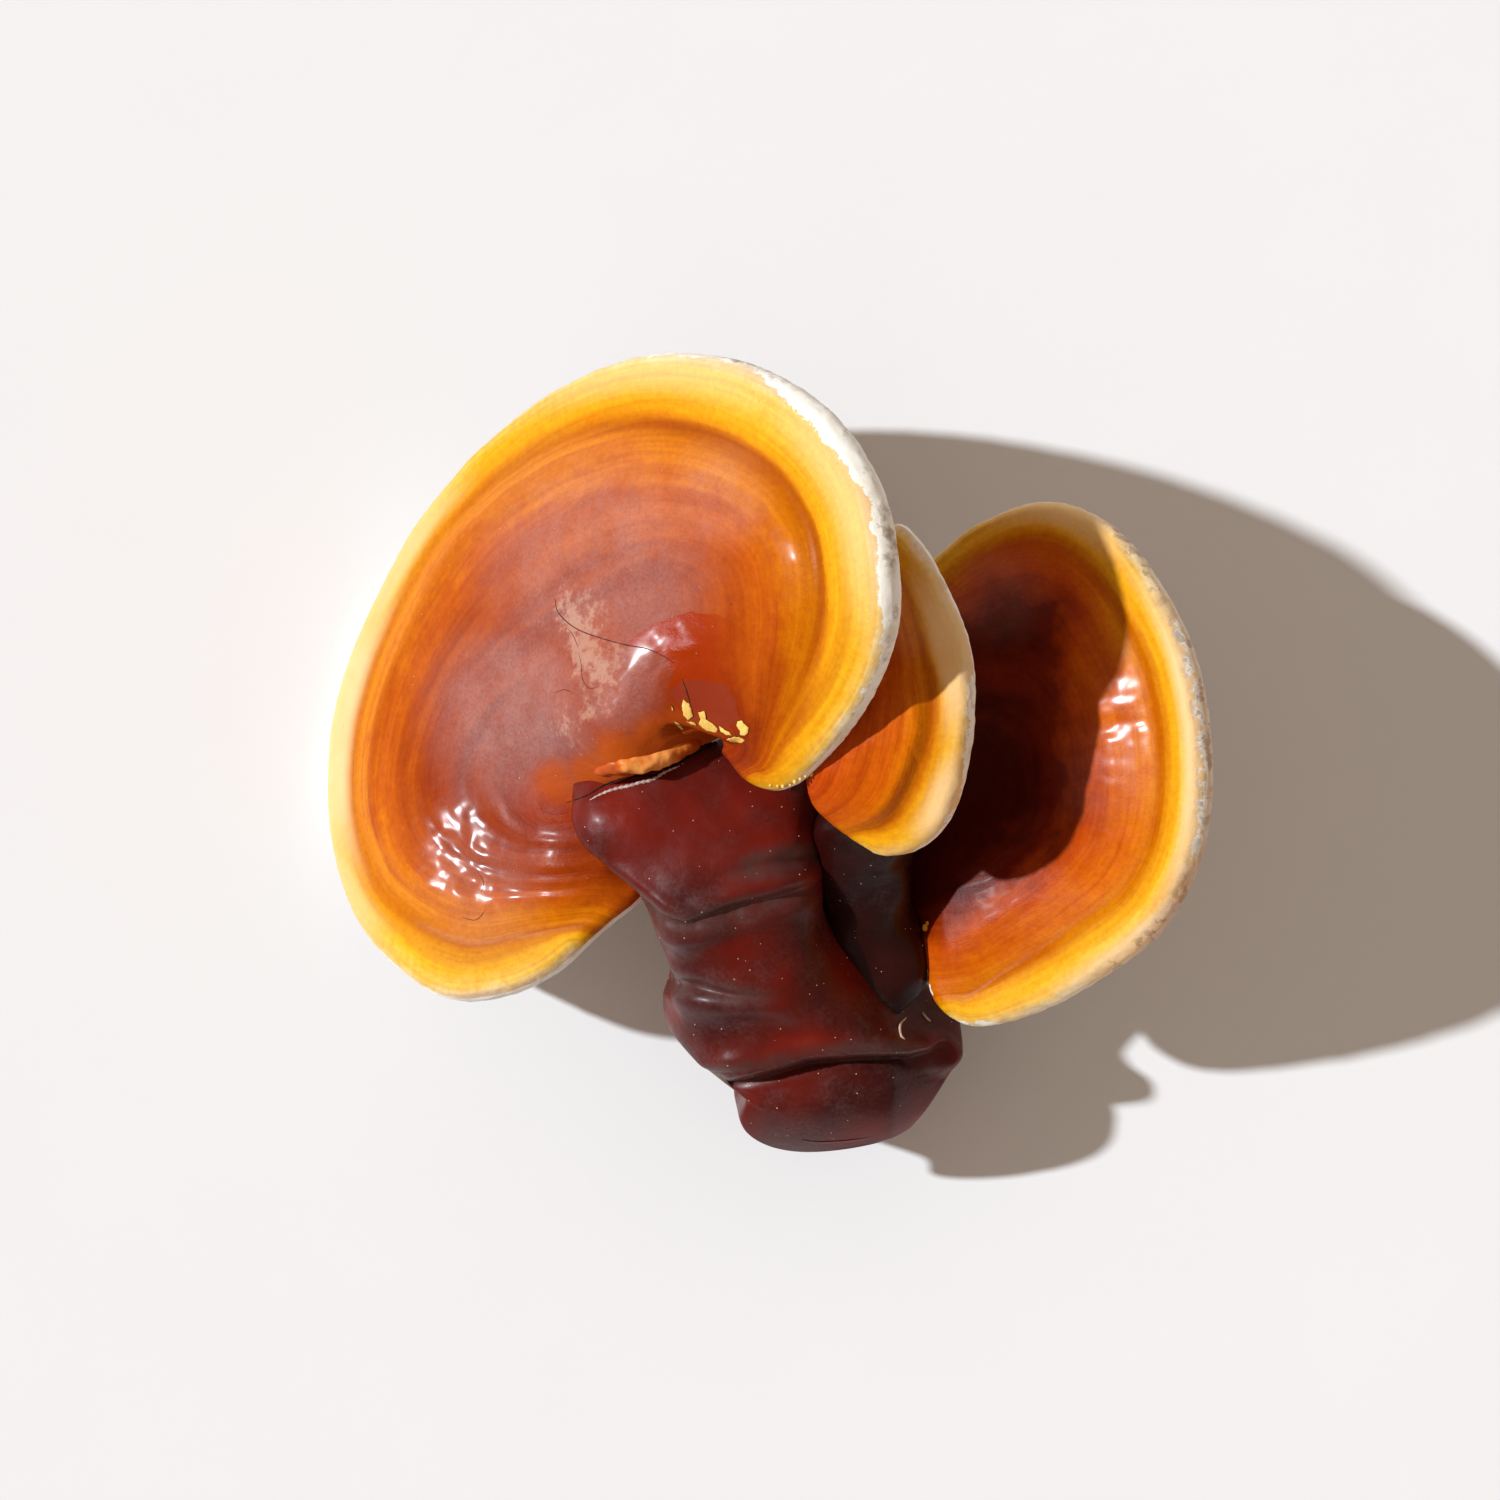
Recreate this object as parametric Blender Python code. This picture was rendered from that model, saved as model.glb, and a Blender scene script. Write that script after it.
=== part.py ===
"""Reishi mushroom: three lacquered caps on one knobbly, forked stem. Metres, +Z up.

It lies as it was picked. The left rim of the large cap, the flat cut at the foot of the stem and the
curled left lobe of the right cap rest on the ground at z = 0, and all three caps tilt up to the right.
"""

import math
from dataclasses import dataclass

import bpy
import numpy as np

# All the dimensions below are in millimetres. Outlines run clockwise as seen from above.
MM = 0.001
GAP = 0.4
ORIGIN = (1.3, -1.1, 0.0)

# Stations along each stem: x, y, z of its axis, half its width, half its depth, and how far its
# cross-section is turned in the plan, in degrees. The sections of a stem all lean back alike.
STEM_LEAN = 32
STEM_STATIONS = (
    (15, -58, 3, 8, 6, 4), (13.6, -56.5, 8, 12.9, 11.5, 4), (13.2, -54, 14.5, 15.8, 15, 5),
    (15.5, -49.5, 19, 16.5, 12.5, 5), (10.5, -44, 25, 22, 15.5, 0), (5.6, -38, 28.5, 18.3, 13, -6),
    (1.5, -31, 31.5, 14, 14.5, 4), (-1.2, -25, 34, 12.9, 13, 12), (-3.4, -14.8, 38, 15.6, 14.5, 15),
    (-8.7, -7.6, 40.5, 17.7, 10.5, 15), (-14.5, -1.5, 41.5, 13.8, 6.5, 20), (-16, 2.5, 41.5, 7, 4, 20),
)
SIDE_LEAN = 43
SIDE_STATIONS = (
    (6, -42, 23, 5, 5, 0), (15.5, -37, 26, 9.5, 8.5, 0), (20, -31.5, 28, 8.5, 8, 0),
    (18.5, -24, 32.5, 7, 6.5, 0), (17.5, -16, 39.5, 7.5, 6, 0), (18.5, -10, 46.5, 8, 6, 0),
    (20, -7, 50.5, 6, 4.5, 0),
)
STEM_SQUARENESS = 2.7
# The lowest fold of the stem in plan, and the top of the rounded bulge between it and the cut foot.
FOOT_FOLD = (
    (-12, -52.5), (-4.5, -50.8), (-0.4, -50), (5.8, -48.4), (9.1, -47.4), (16.2, -46.8), (24.4, -46.7),
    (27.8, -45.9), (31, -44),
)
FOOT_BULGE = (11, -52, 34)
FOLD_WIDTH = 2.2


@dataclass
class Cap:
    """A bracket cap: a thick skin drawn over a bent sheet, with a blunt rolled rim."""

    rim: tuple  # points on the middle of the edge, clockwise
    crown: tuple  # points inside the rim; the skin's rings close on the first
    root: tuple  # where the growth rings start, x and y
    root_clear: float  # no groove or rings nearer the root than this
    around: int  # points in one ring
    inner: tuple  # rings inside the margin, as shares of the way out
    edge: float  # thickness of the rim
    margin: float  # width of the rolled band outside the groove
    core: float  # how much thicker the flesh is under the crown
    core_reach: float
    ring_count: int
    knob: tuple = ()  # x, y, radius and height of the knob over the stem
    lip: tuple = ()  # the two ends of the ledge that overhangs the stem


LARGE_CAP = Cap(
    rim=(
        (-66.5, 0, 1.2), (-64.5, 10.5, 1), (-60.5, 20.5, 2.5), (-52.6, 34.8, 7.7), (-47.3, 41.3, 11.3),
        (-41.5, 47.5, 16), (-29, 56.5, 25.5), (-14.5, 61, 40), (0.5, 58.5, 57), (12, 50.5, 71.5),
        (19, 39.5, 78.5), (21.5, 28, 82), (21.5, 17, 78.5), (17.5, 6.5, 69.5), (10.5, -2.5, 60),
        (5.5, -6, 55), (0, -4.5, 52), (-4.5, 1.5, 48), (-7.5, -1, 44.5), (-9.5, -6, 41),
        (-11, -12, 38), (-13, -18, 36), (-16.5, -23, 35), (-22.5, -28, 34.5), (-30.5, -35, 32.5),
        (-38.5, -38.5, 30), (-47, -39, 26.5), (-55.5, -34, 20), (-62, -26.5, 11.5), (-66, -14, 5),
    ),
    crown=(
        (-16, 18, 48), (-36, 29.5, 29), (-20, 41.5, 39), (-1.5, 38, 58.5), (10.5, 22.5, 70.5),
        (-50.5, 8, 14.5), (-50, -14.5, 19.3), (-42, -16.5, 24.3), (-36.5, -21, 28.2), (-29.5, -17, 33),
    ),
    root=(-12, 0), root_clear=8, around=80, inner=(0.9, 0.8, 0.7, 0.6, 0.5, 0.4, 0.28, 0.15),
    edge=5, margin=10, core=5, core_reach=30, ring_count=7,
    knob=(-18, 6, 11.5, 9), lip=((-29, -7.5), (-9, -1.5)),
)
MIDDLE_CAP = Cap(
    rim=(
        (22, 34, 65), (26, 30.5, 65.5), (30, 23.5, 65.5), (33, 16, 66), (34, 7.5, 65),
        (33, -2.5, 62.5), (30.5, -10.5, 59), (26, -15, 55), (20.5, -16, 53), (15, -13, 52),
        (9.5, -8, 53.5), (8.5, -3, 56), (11, 6, 56), (15, 19.5, 57), (19, 29.5, 61),
    ),
    crown=((23, 5, 61.5),),
    root=(14, -2), root_clear=4, around=44, inner=(0.75, 0.4),
    edge=4.5, margin=7, core=2, core_reach=14, ring_count=3,
)
RIGHT_CAP = Cap(
    rim=(
        (29, 30, 23.5), (36.5, 35.5, 29.5), (46.5, 38.5, 37.5), (55.5, 34.5, 45), (62.5, 25, 52),
        (67.5, 13, 56), (69.5, -2.5, 58), (68, -16.5, 56), (63, -27, 52), (54.5, -34.5, 46.5),
        (44.5, -40.5, 38.5), (35, -43, 32.5), (29.5, -40, 30.5), (27.5, -34, 28.8), (26, -28, 27),
        (24, -22, 25), (21, -12.5, 20.5), (18, -3, 10.5), (16, 7, 1.5), (17, 17, 0.5),
        (21.5, 25, 9),
    ),
    crown=((42, -2, 35), (51, 4, 40.5), (57.5, 2, 46), (48, -16.5, 38.3), (40, -20.5, 34.3)),
    root=(24, -16), root_clear=6, around=54, inner=(0.82, 0.6, 0.38, 0.18),
    edge=5, margin=7.5, core=3, core_reach=20, ring_count=5,
)

EDGE_ROUND = 2.2
MARGIN_ROLL = 0.9
GROOVE_DEPTH = 1.0
GROOVE_WIDTH = 1.3
SHOULDER_RISE = 1.5
SHOULDER_WIDTH = 4.5
RING_HEIGHT = 0.3
LIP_FADE = 5.0
LIP_DROP_WIDTH = 4.0

LACQUER = {
    "large_cap": (0.42, 0.10, 0.03),
    "middle_cap": (0.50, 0.13, 0.02),
    "right_cap": (0.38, 0.09, 0.02),
    "stem": (0.09, 0.012, 0.008),
    "side_stem": (0.10, 0.015, 0.010),
}


def smooth_step(value):
    value = np.clip(value, 0.0, 1.0)
    return value * value * (3.0 - 2.0 * value)


def smooth_curve(points, count, closed):
    """Even steps along a smooth curve through the points."""
    points = np.asarray(points, float)
    if closed:
        knots = np.vstack([points[-1:], points, points[:2]])
    else:
        knots = np.vstack([2 * points[0] - points[1], points, 2 * points[-1] - points[-2]])
    chord = np.linalg.norm(np.diff(knots[:, :3], axis=0), axis=1)
    slope = (knots[2:] - knots[:-2]) / (chord[1:] + chord[:-1])[:, None]
    t = np.linspace(0.0, 1.0, 24, endpoint=False)[:, None]
    pieces = []
    for i in range(len(knots) - 3):
        start, end = knots[i + 1], knots[i + 2]
        leave, arrive = slope[i] * chord[i + 1], slope[i + 1] * chord[i + 1]
        ends = start * (2 * t**3 - 3 * t**2 + 1) + end * (3 * t**2 - 2 * t**3)
        pieces.append(ends + leave * (t**3 - 2 * t**2 + t) + arrive * (t**3 - t**2))
    curve = np.vstack(pieces + [knots[-2:-1]])
    run = np.concatenate([[0.0], np.cumsum(np.linalg.norm(np.diff(curve[:, :3], axis=0), axis=1))])
    at = np.linspace(0.0, run[-1], count, endpoint=not closed)
    return np.stack([np.interp(at, run, column) for column in curve.T], axis=1)


def bent_sheet(points, give=6.0):
    """The height z(x, y) of a thin springy sheet bent through the points."""
    points = np.asarray(points, float)
    plan = points[:, :2]

    def pull(at):
        square = ((at[:, None, :] - plan[None, :, :]) ** 2).sum(axis=2)
        return 0.5 * square * np.log(square + 1e-9)

    flat = np.hstack([np.ones((len(plan), 1)), plan])
    system = np.block([[pull(plan) + give * np.eye(len(plan)), flat], [flat.T, np.zeros((3, 3))]])
    weights = np.linalg.solve(system, np.concatenate([points[:, 2], np.zeros(3)]))
    return lambda at: pull(at) @ weights[:-3] + weights[-3] + at @ weights[-2:]


def sheet_normal(sheet, plan, step=0.5):
    fall_x = (sheet(plan + (step, 0)) - sheet(plan - (step, 0))) / (2 * step)
    fall_y = (sheet(plan + (0, step)) - sheet(plan - (0, step))) / (2 * step)
    normal = np.stack([-fall_x, -fall_y, np.ones(len(plan))], axis=1)
    return normal / np.linalg.norm(normal, axis=1)[:, None]


def ring_plan(cap, depths, inner):
    """Rings of plan points, from the rim inwards, and the crown point that they close on."""
    rim = smooth_curve(cap.rim, cap.around, True)[:, :2]
    crown = np.array(cap.crown[0][:2], float)
    reach = np.linalg.norm(rim - crown, axis=1)
    squeeze = np.minimum(1.0, 0.55 * reach / depths[-1])
    shares = [1.0 - depth * squeeze / reach for depth in depths]
    shares += [shares[-1] * share for share in inner]
    rings = [crown + share[:, None] * (rim - crown) for share in shares]
    return np.vstack(rings + [crown[None]])


def edge_half(cap, depth):
    """Half the thickness of the blunt round edge, at a depth inside the rim."""
    return cap.edge / 2 * np.sqrt(1.0 - (1.0 - np.clip(depth / EDGE_ROUND, 0.0, 1.0)) ** 2)


def upper_lift(cap, plan, depth):
    """Height of the lacquered skin over the sheet: rolled margin, groove, shoulder, rings and knob."""
    past_margin = depth - cap.margin
    away = np.linalg.norm(plan - cap.root, axis=1)
    grown = smooth_step((away - cap.root_clear) / 10.0)
    roll = MARGIN_ROLL * np.sin(math.pi * np.clip(depth / cap.margin, 0.0, 1.0))
    groove = GROOVE_DEPTH * np.exp(-((past_margin / GROOVE_WIDTH) ** 2))
    waves = np.sin(2 * math.pi * cap.ring_count * depth / (depth + away))
    rings = RING_HEIGHT * waves * smooth_step((past_margin - 2.0) / 4.0)
    lift = edge_half(cap, depth) + grown * (roll - groove + rings)
    lift += SHOULDER_RISE * smooth_step(past_margin / SHOULDER_WIDTH)
    if cap.knob:
        x, y, radius, height = cap.knob
        far = np.linalg.norm(plan - (x, y), axis=1) / radius
        lift += height * np.exp(-(far**2)) * smooth_step(depth / 4.0)
    if cap.lip:
        lift -= np.maximum(lift - cap.edge / 2, 0.0) * past_lip(cap.lip, plan)
    return lift


def past_lip(lip, plan):
    """1 on the stem's side of the lip and 0 on the cap's side."""
    start, end = np.array(lip, float)
    length = np.linalg.norm(end - start)
    ahead = (end - start) / length
    along = (plan - start) @ ahead
    beyond = (plan - start) @ np.array([ahead[1], -ahead[0]])
    beside = smooth_step((along + LIP_FADE) / LIP_FADE) * smooth_step((length + LIP_FADE - along) / LIP_FADE)
    return beside * smooth_step(beyond / LIP_DROP_WIDTH)


def cap_skin(cap, sheet, plan, upper):
    rim = smooth_curve(cap.rim, 360, True)[:, :2]
    rim = np.column_stack([rim, sheet(rim)])
    middle = np.column_stack([plan, sheet(plan)])
    depth = np.linalg.norm(middle[:, None, :] - rim[None, :, :], axis=2).min(axis=1)
    depth[:cap.around] = 0.0
    if upper:
        lift = upper_lift(cap, plan, depth)
    else:
        lift = -edge_half(cap, depth) - cap.core * smooth_step(depth / cap.core_reach)
    return middle + sheet_normal(sheet, plan) * lift[:, None]


def make_cap(name, cap):
    sheet = bent_sheet(cap.rim + cap.crown)
    margin = cap.margin
    top_depths = (0.0, 0.35, 1.2, 2.6, 0.5 * margin, 0.82 * margin, margin, 1.2 * margin, 1.5 * margin)
    top = cap_skin(cap, sheet, ring_plan(cap, top_depths, cap.inner), True)
    under = cap_skin(cap, sheet, ring_plan(cap, (0.0, 0.5, 1.8, 5.0), (0.62, 0.28)), False)
    top_rings = top[:-1].reshape(-1, cap.around, 3)
    under_rings = under[:-1].reshape(-1, cap.around, 3)[1:]
    rings = list(under_rings[::-1]) + list(top_rings)
    return closed_skin(name, rings, under[-1], top[-1])


def folded_foot(ring, height, middle):
    """A ring of the stem whose upper side drops at the lowest fold to the bulge over the cut foot."""
    x, y, top = FOOT_BULGE
    from_x, from_y = ring[:, 0] - x, ring[:, 1] - y
    bulge = top - 0.10 * from_y**2 - 0.02 * from_x**2 - 0.6 * np.maximum(from_x - 11, 0)
    bulge = np.maximum(bulge, middle + 1.0)
    fold = np.interp(ring[:, 0], *np.array(FOOT_FOLD).T)
    share = smooth_step(height / 0.45) * smooth_step((fold - ring[:, 1]) / FOLD_WIDTH)
    share *= smooth_step((24 - from_x) / 6)
    return ring + np.outer(share * (bulge - ring[:, 2]), (0, 0, 1))


def make_stem(name, stations, lean, count, around, foot=False):
    """A stem lofted through its stations, with a slight wander in its cross-sections."""
    turn = np.linspace(0.0, 2 * math.pi, around, endpoint=False)
    square = np.abs(np.cos(turn)) ** STEM_SQUARENESS + np.abs(np.sin(turn)) ** STEM_SQUARENESS
    above = np.array([0.0, -math.sin(math.radians(lean)), math.cos(math.radians(lean))])
    path = smooth_curve(stations, count, False)
    rings = []
    for k, (x, y, z, width, depth, angle) in enumerate(path):
        across = np.array([math.cos(math.radians(angle)), math.sin(math.radians(angle)), 0.0])
        wander = 1.0 + 0.03 * np.sin(3 * turn + 0.9 * k) + 0.02 * np.sin(5 * turn - 0.7 * k)
        out = wander * square ** (-1 / STEM_SQUARENESS)
        side = np.outer(np.cos(turn) * out * width, across)
        rise = np.outer(np.sin(turn) * out * depth, above)
        ring = np.array([x, y, z]) + side + rise
        rings.append(folded_foot(ring, np.sin(turn), z) if foot else ring)
    return closed_skin(name, rings, path[0, :3], path[-1, :3])


def closed_skin(name, rings, first_pole, last_pole):
    """A closed, smooth skin over rings of equal length, with a point at each end."""
    around = len(rings[0])
    points = np.vstack([first_pole, *rings, last_pole])
    last = len(points) - 1
    last_ring = last - around
    faces = []
    for k in range(around):
        n = (k + 1) % around
        faces.append((0, 1 + k, 1 + n))
        for start in range(1, last_ring, around):
            faces.append((start + k, start + around + k, start + around + n, start + n))
        faces.append((last, last_ring + n, last_ring + k))
    mesh = bpy.data.meshes.new(name)
    mesh.from_pydata(((points - ORIGIN) * MM).tolist(), [], faces)
    mesh.shade_smooth()
    mesh.materials.append(lacquer(name))
    return place(name, mesh)


def lacquer(name):
    material = bpy.data.materials.new(name)
    material.use_nodes = True
    shader = material.node_tree.nodes["Principled BSDF"]
    shader.inputs["Base Color"].default_value = (*LACQUER[name], 1.0)
    shader.inputs["Roughness"].default_value = 0.35
    shader.inputs["Metallic"].default_value = 0.0
    return material


def place(name, mesh):
    thing = bpy.data.objects.new(name, mesh)
    bpy.context.scene.collection.objects.link(thing)
    return thing


def as_cutter(thing):
    thing.hide_render = True
    thing.display_type = "WIRE"
    return thing


def room_for(piece):
    """A cutter that is one gap larger all round than the piece it makes room for."""
    cutter = place(piece.name + "_room", piece.data)
    swell = cutter.modifiers.new("gap", "DISPLACE")
    swell.strength = GAP * MM
    swell.mid_level = 0.0
    return as_cutter(cutter)


def ground_block(size=0.4, depth=0.04):
    """Everything below the ground, to cut the flats that the mushroom rests on."""
    square = ((-size, -size), (size, -size), (size, size), (-size, size))
    corners = [(x, y, z) for z in (-depth, 0.0) for x, y in square]
    faces = [(0, 3, 2, 1), (4, 5, 6, 7), (0, 1, 5, 4), (1, 2, 6, 5), (2, 3, 7, 6), (3, 0, 4, 7)]
    mesh = bpy.data.meshes.new("ground")
    mesh.from_pydata(corners, [], faces)
    return as_cutter(place("ground", mesh))


def cut(piece, *cutters):
    for cutter in cutters:
        boolean = piece.modifiers.new(cutter.name, "BOOLEAN")
        boolean.operation = "DIFFERENCE"
        boolean.object = cutter


def main():
    for thing in list(bpy.data.objects):
        bpy.data.objects.remove(thing)
    large = make_cap("large_cap", LARGE_CAP)
    middle = make_cap("middle_cap", MIDDLE_CAP)
    right = make_cap("right_cap", RIGHT_CAP)
    stem = make_stem("stem", STEM_STATIONS, STEM_LEAN, count=34, around=26, foot=True)
    side = make_stem("side_stem", SIDE_STATIONS, SIDE_LEAN, count=15, around=16)
    ground = ground_block()
    large_room, right_room = room_for(large), room_for(right)
    cut(side, room_for(stem), large_room, room_for(middle), right_room)
    cut(stem, large_room, right_room, ground)
    cut(middle, large_room)
    cut(large, ground)
    cut(right, ground)


main()
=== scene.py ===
"""The finished reishi mushroom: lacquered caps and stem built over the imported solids.

The caps and stems are grown from the same outlines as the solids, with the fine relief that the solids
leave out. All shapes are worked out in millimetres, x to the right and y up the picture.
"""

import math
from dataclasses import dataclass

import bpy
import numpy as np
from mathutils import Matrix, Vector
from mathutils.bvhtree import BVHTree


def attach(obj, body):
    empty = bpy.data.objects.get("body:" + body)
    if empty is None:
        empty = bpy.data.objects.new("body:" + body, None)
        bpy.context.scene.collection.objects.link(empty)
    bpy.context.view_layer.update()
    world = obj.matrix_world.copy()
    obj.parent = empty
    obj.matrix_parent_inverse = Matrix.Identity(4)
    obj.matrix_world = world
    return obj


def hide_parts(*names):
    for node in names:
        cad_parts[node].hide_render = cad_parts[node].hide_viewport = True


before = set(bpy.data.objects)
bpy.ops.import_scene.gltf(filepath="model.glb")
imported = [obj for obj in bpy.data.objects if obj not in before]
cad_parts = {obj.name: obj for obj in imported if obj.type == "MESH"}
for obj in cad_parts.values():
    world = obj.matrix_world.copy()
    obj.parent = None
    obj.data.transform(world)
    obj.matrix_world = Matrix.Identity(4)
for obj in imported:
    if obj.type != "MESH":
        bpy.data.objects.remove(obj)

MM = 0.001
ORIGIN = (1.3, -1.1, 0.0)

# ---------------------------------------------------------------- the outlines that the solids share

STEM_LEAN = 32
STEM_STATIONS = (
    (15, -58, 3, 8, 6, 4), (13.6, -56.5, 8, 12.9, 11.5, 4), (13.2, -54, 14.5, 15.8, 15, 5),
    (15.5, -49.5, 19, 16.5, 12.5, 5), (10.5, -44, 25, 22, 15.5, 0), (5.6, -38, 28.5, 18.3, 13, -6),
    (1.5, -31, 31.5, 14, 14.5, 4), (-1.2, -25, 34, 12.9, 13, 12), (-3.4, -14.8, 38, 15.6, 14.5, 15),
    (-8.7, -7.6, 40.5, 17.7, 10.5, 15), (-14.5, -1.5, 41.5, 13.8, 6.5, 20), (-16, 2.5, 41.5, 7, 4, 20),
)
SIDE_LEAN = 43
SIDE_STATIONS = (
    (6, -42, 23, 5, 5, 0), (15.5, -37, 26, 9.5, 8.5, 0), (20, -31.5, 28, 8.5, 8, 0),
    (18.5, -24, 32.5, 7, 6.5, 0), (17.5, -16, 39.5, 7.5, 6, 0), (18.5, -10, 46.5, 8, 6, 0),
    (20, -7, 50.5, 6, 4.5, 0),
)
STEM_SQUARENESS = 2.7


@dataclass
class Cap:
    """A bracket cap: a thick skin drawn over a bent sheet, with a blunt rolled rim."""

    rim: tuple  # points on the middle of the edge, clockwise
    crown: tuple  # points inside the rim; the skin's rings close on the first
    held: tuple  # first and last rim point of the stretch that the stem holds
    root: tuple  # the two ends of the line that the growth rings wrap round
    around: int  # points in one ring
    rings: int  # rings between the margin and the crown
    edge: float  # thickness of the rim
    margins: tuple  # width of the pale band outside the groove, at each point of the rim
    core: float  # how much thicker the flesh is under the crown
    core_reach: float
    ringed: float  # height of the growth rings
    crinkles: tuple  # x, y, reach and height of the hammered patches
    ridges: tuple  # x, y, reach and height where the growth rings stand up most
    # The dusty film is partly real dust and partly painted sheen where the lacquer shows a broad pale
    # highlight.
    haze: tuple  # x, y, reach and strength of the dusty film
    pale: tuple  # x, y, reach and strength where the margin is palest, and the share of it that is pale
    scars: tuple  # x, y, reach and strength where the rim is torn and brown
    flesh: int = 3  # rings of the edge, counted up from its widest, that are bare flesh
    shoulder: float = 6.0  # how far the skin takes to rise inside the groove
    seam: float = 0.0  # height of the thin line that stands up just outside the groove
    swells: tuple = ()  # soft ridges: the two ends in plan, the height and the width of each
    gleam: tuple = ()  # x, y, reach and strength where the varnish is thick and glossy
    wall: tuple = ()  # x, y, reach and width of the bare flesh that shows along the rim
    # The deep patches push the colour towards the dark root: partly the cap's own colour, partly painted
    # shade.
    deep: tuple = ()  # x, y, reach and strength where the red comes close to the groove
    warm: tuple = ()  # x, y, reach and strength where the skin is clean orange
    knob: tuple = ()  # x, y, radius and height of the knob over the stem
    lip: tuple = ()  # the two ends of the ledge that overhangs the stem


LARGE_CAP = Cap(
    rim=(
        (-66.5, 0, 1.2), (-64.5, 10.5, 1), (-60.5, 20.5, 2.5), (-52.6, 34.8, 7.7), (-47.3, 41.3, 11.3),
        (-41.5, 47.5, 16), (-29, 56.5, 25.5), (-14.5, 61, 40), (0.5, 58.5, 57), (12, 50.5, 71.5),
        (19, 39.5, 78.5), (21.5, 28, 82), (21.5, 17, 78.5), (17.5, 6.5, 69.5), (10.5, -2.5, 60),
        (5.5, -6, 55), (0, -4.5, 52), (-4.5, 1.5, 48), (-7.5, -1, 44.5), (-9.5, -6, 41),
        (-11, -12, 38), (-13, -18, 36), (-16.5, -23, 35), (-22.5, -28, 34.5), (-30.5, -35, 32.5),
        (-38.5, -38.5, 30), (-47, -39, 26.5), (-55.5, -34, 20), (-62, -26.5, 11.5), (-66, -14, 5),
    ),
    crown=(
        (-16, 18, 48), (-36, 29.5, 29), (-20, 41.5, 39), (-1.5, 38, 58.5), (10.5, 22.5, 70.5),
        (-50.5, 8, 14.5), (-50, -14.5, 19.3), (-42, -16.5, 24.3), (-36.5, -21, 28.2), (-29.5, -17, 33),
    ),
    held=(16, 23), root=((-28.5, -8.5), (-2, 1.5)), around=560, rings=84, edge=5,
    margins=(
        7, 7, 7, 7.5, 8, 8.5, 9.5, 11, 12.5, 13, 13, 12.5, 11, 8.5, 5.5, 3.5, 2.5, 3, 4, 4, 4, 4, 5, 6, 7,
        8, 8.5, 8.5, 8, 7,
    ),
    core=5, core_reach=30, ringed=0.13,
    crinkles=((-45, -19, 17, 1.0), (8, 36, 12, 0.7), (-22, 6, 12, 0.7), (-12, 15, 8, 0.8)),
    ridges=((-38, -16, 19, 0.13), (-40, 8, 16, 0.08)),
    haze=((-24, 28, 24, 0.8), (-36, 6, 19, 1.0), (-22, 10, 11, 0.8), (-42, -22, 13, 0.4), (-6, 38, 11, 0.6)),
    pale=(
        (-68, 4, 32, 0.95, 1.05), (-58, 30, 24, 0.7, 0.9), (-12, 66, 30, 0.45, 0.7), (22, 40, 26, 0.5, 0.7),
        (-66, -24, 16, 0.6, 0.8),
    ),
    gleam=(
        (-44, -18, 17, 1.0), (8, 36, 12, 0.6), (-15, 14, 4.5, 0.8), (-9, 19, 4, 0.7), (-27, 1, 3.5, 0.5),
        (-48, 14, 12, 0.2),
    ),
    wall=((13, 50, 20, 2.7), (22, 28, 18, 1.8), (-8, 62, 14, 1.0), (20, 10, 12, 0.8)),
    scars=((-0.8, 59, 3.6, 1.0), (21.5, 32, 8, 0.8), (4, 57, 3, 0.6), (-20, 60, 5, 0.4), (21, 14, 4, 0.5)),
    warm=(
        (-25, -3.5, 4.5, 0.8), (-20.5, -0.5, 5, 0.8), (-15, 2.5, 4.5, 0.6), (-10.5, 4, 4, 0.4),
        (-30, -4.8, 5, 0.75), (-27, -6.5, 3.5, 0.6),
    ),
    swells=((-52, -10, -50, -20, 1.8, 9.0),),
    knob=(-16.5, 6, 11.5, 9), lip=((-27, -7.4), (-5, 1.2)),
)
MIDDLE_CAP = Cap(
    rim=(
        (22, 34, 65), (26, 30.5, 65.5), (30, 23.5, 65.5), (33, 16, 66), (34, 7.5, 65),
        (33, -2.5, 62.5), (30.5, -10.5, 59), (26, -15, 55), (20.5, -16, 53), (15, -13, 52),
        (9.5, -8, 53.5), (8.5, -3, 56), (11, 6, 56), (15, 19.5, 57), (19, 29.5, 61),
    ),
    crown=((23, 5, 61.5),),
    held=(9, 14), root=((8, -3), (13, 14)), around=260, rings=36, edge=4.5,
    margins=(5, 6, 7, 7.5, 8, 8, 8, 7.5, 6, 4, 1.5, 1, 1, 2, 3.5),
    core=2, core_reach=14, ringed=0.05, crinkles=((18, -4, 8, 0.4),), ridges=((20, 0, 12, 0.05),),
    haze=((24, 20, 8, 0.4),), pale=((33, -8, 11, 0.9, 0.75), (35, 16, 18, 0.9, 0.85), (24, -18, 7, 0.5, 0.6)),
    wall=((34, 2, 14, 1.1), (29, -13, 8, 0.8)),
    scars=((34.5, 6, 9, 0.5), (31, -10, 5, 0.5)), shoulder=3.5, flesh=0,
)
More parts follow.
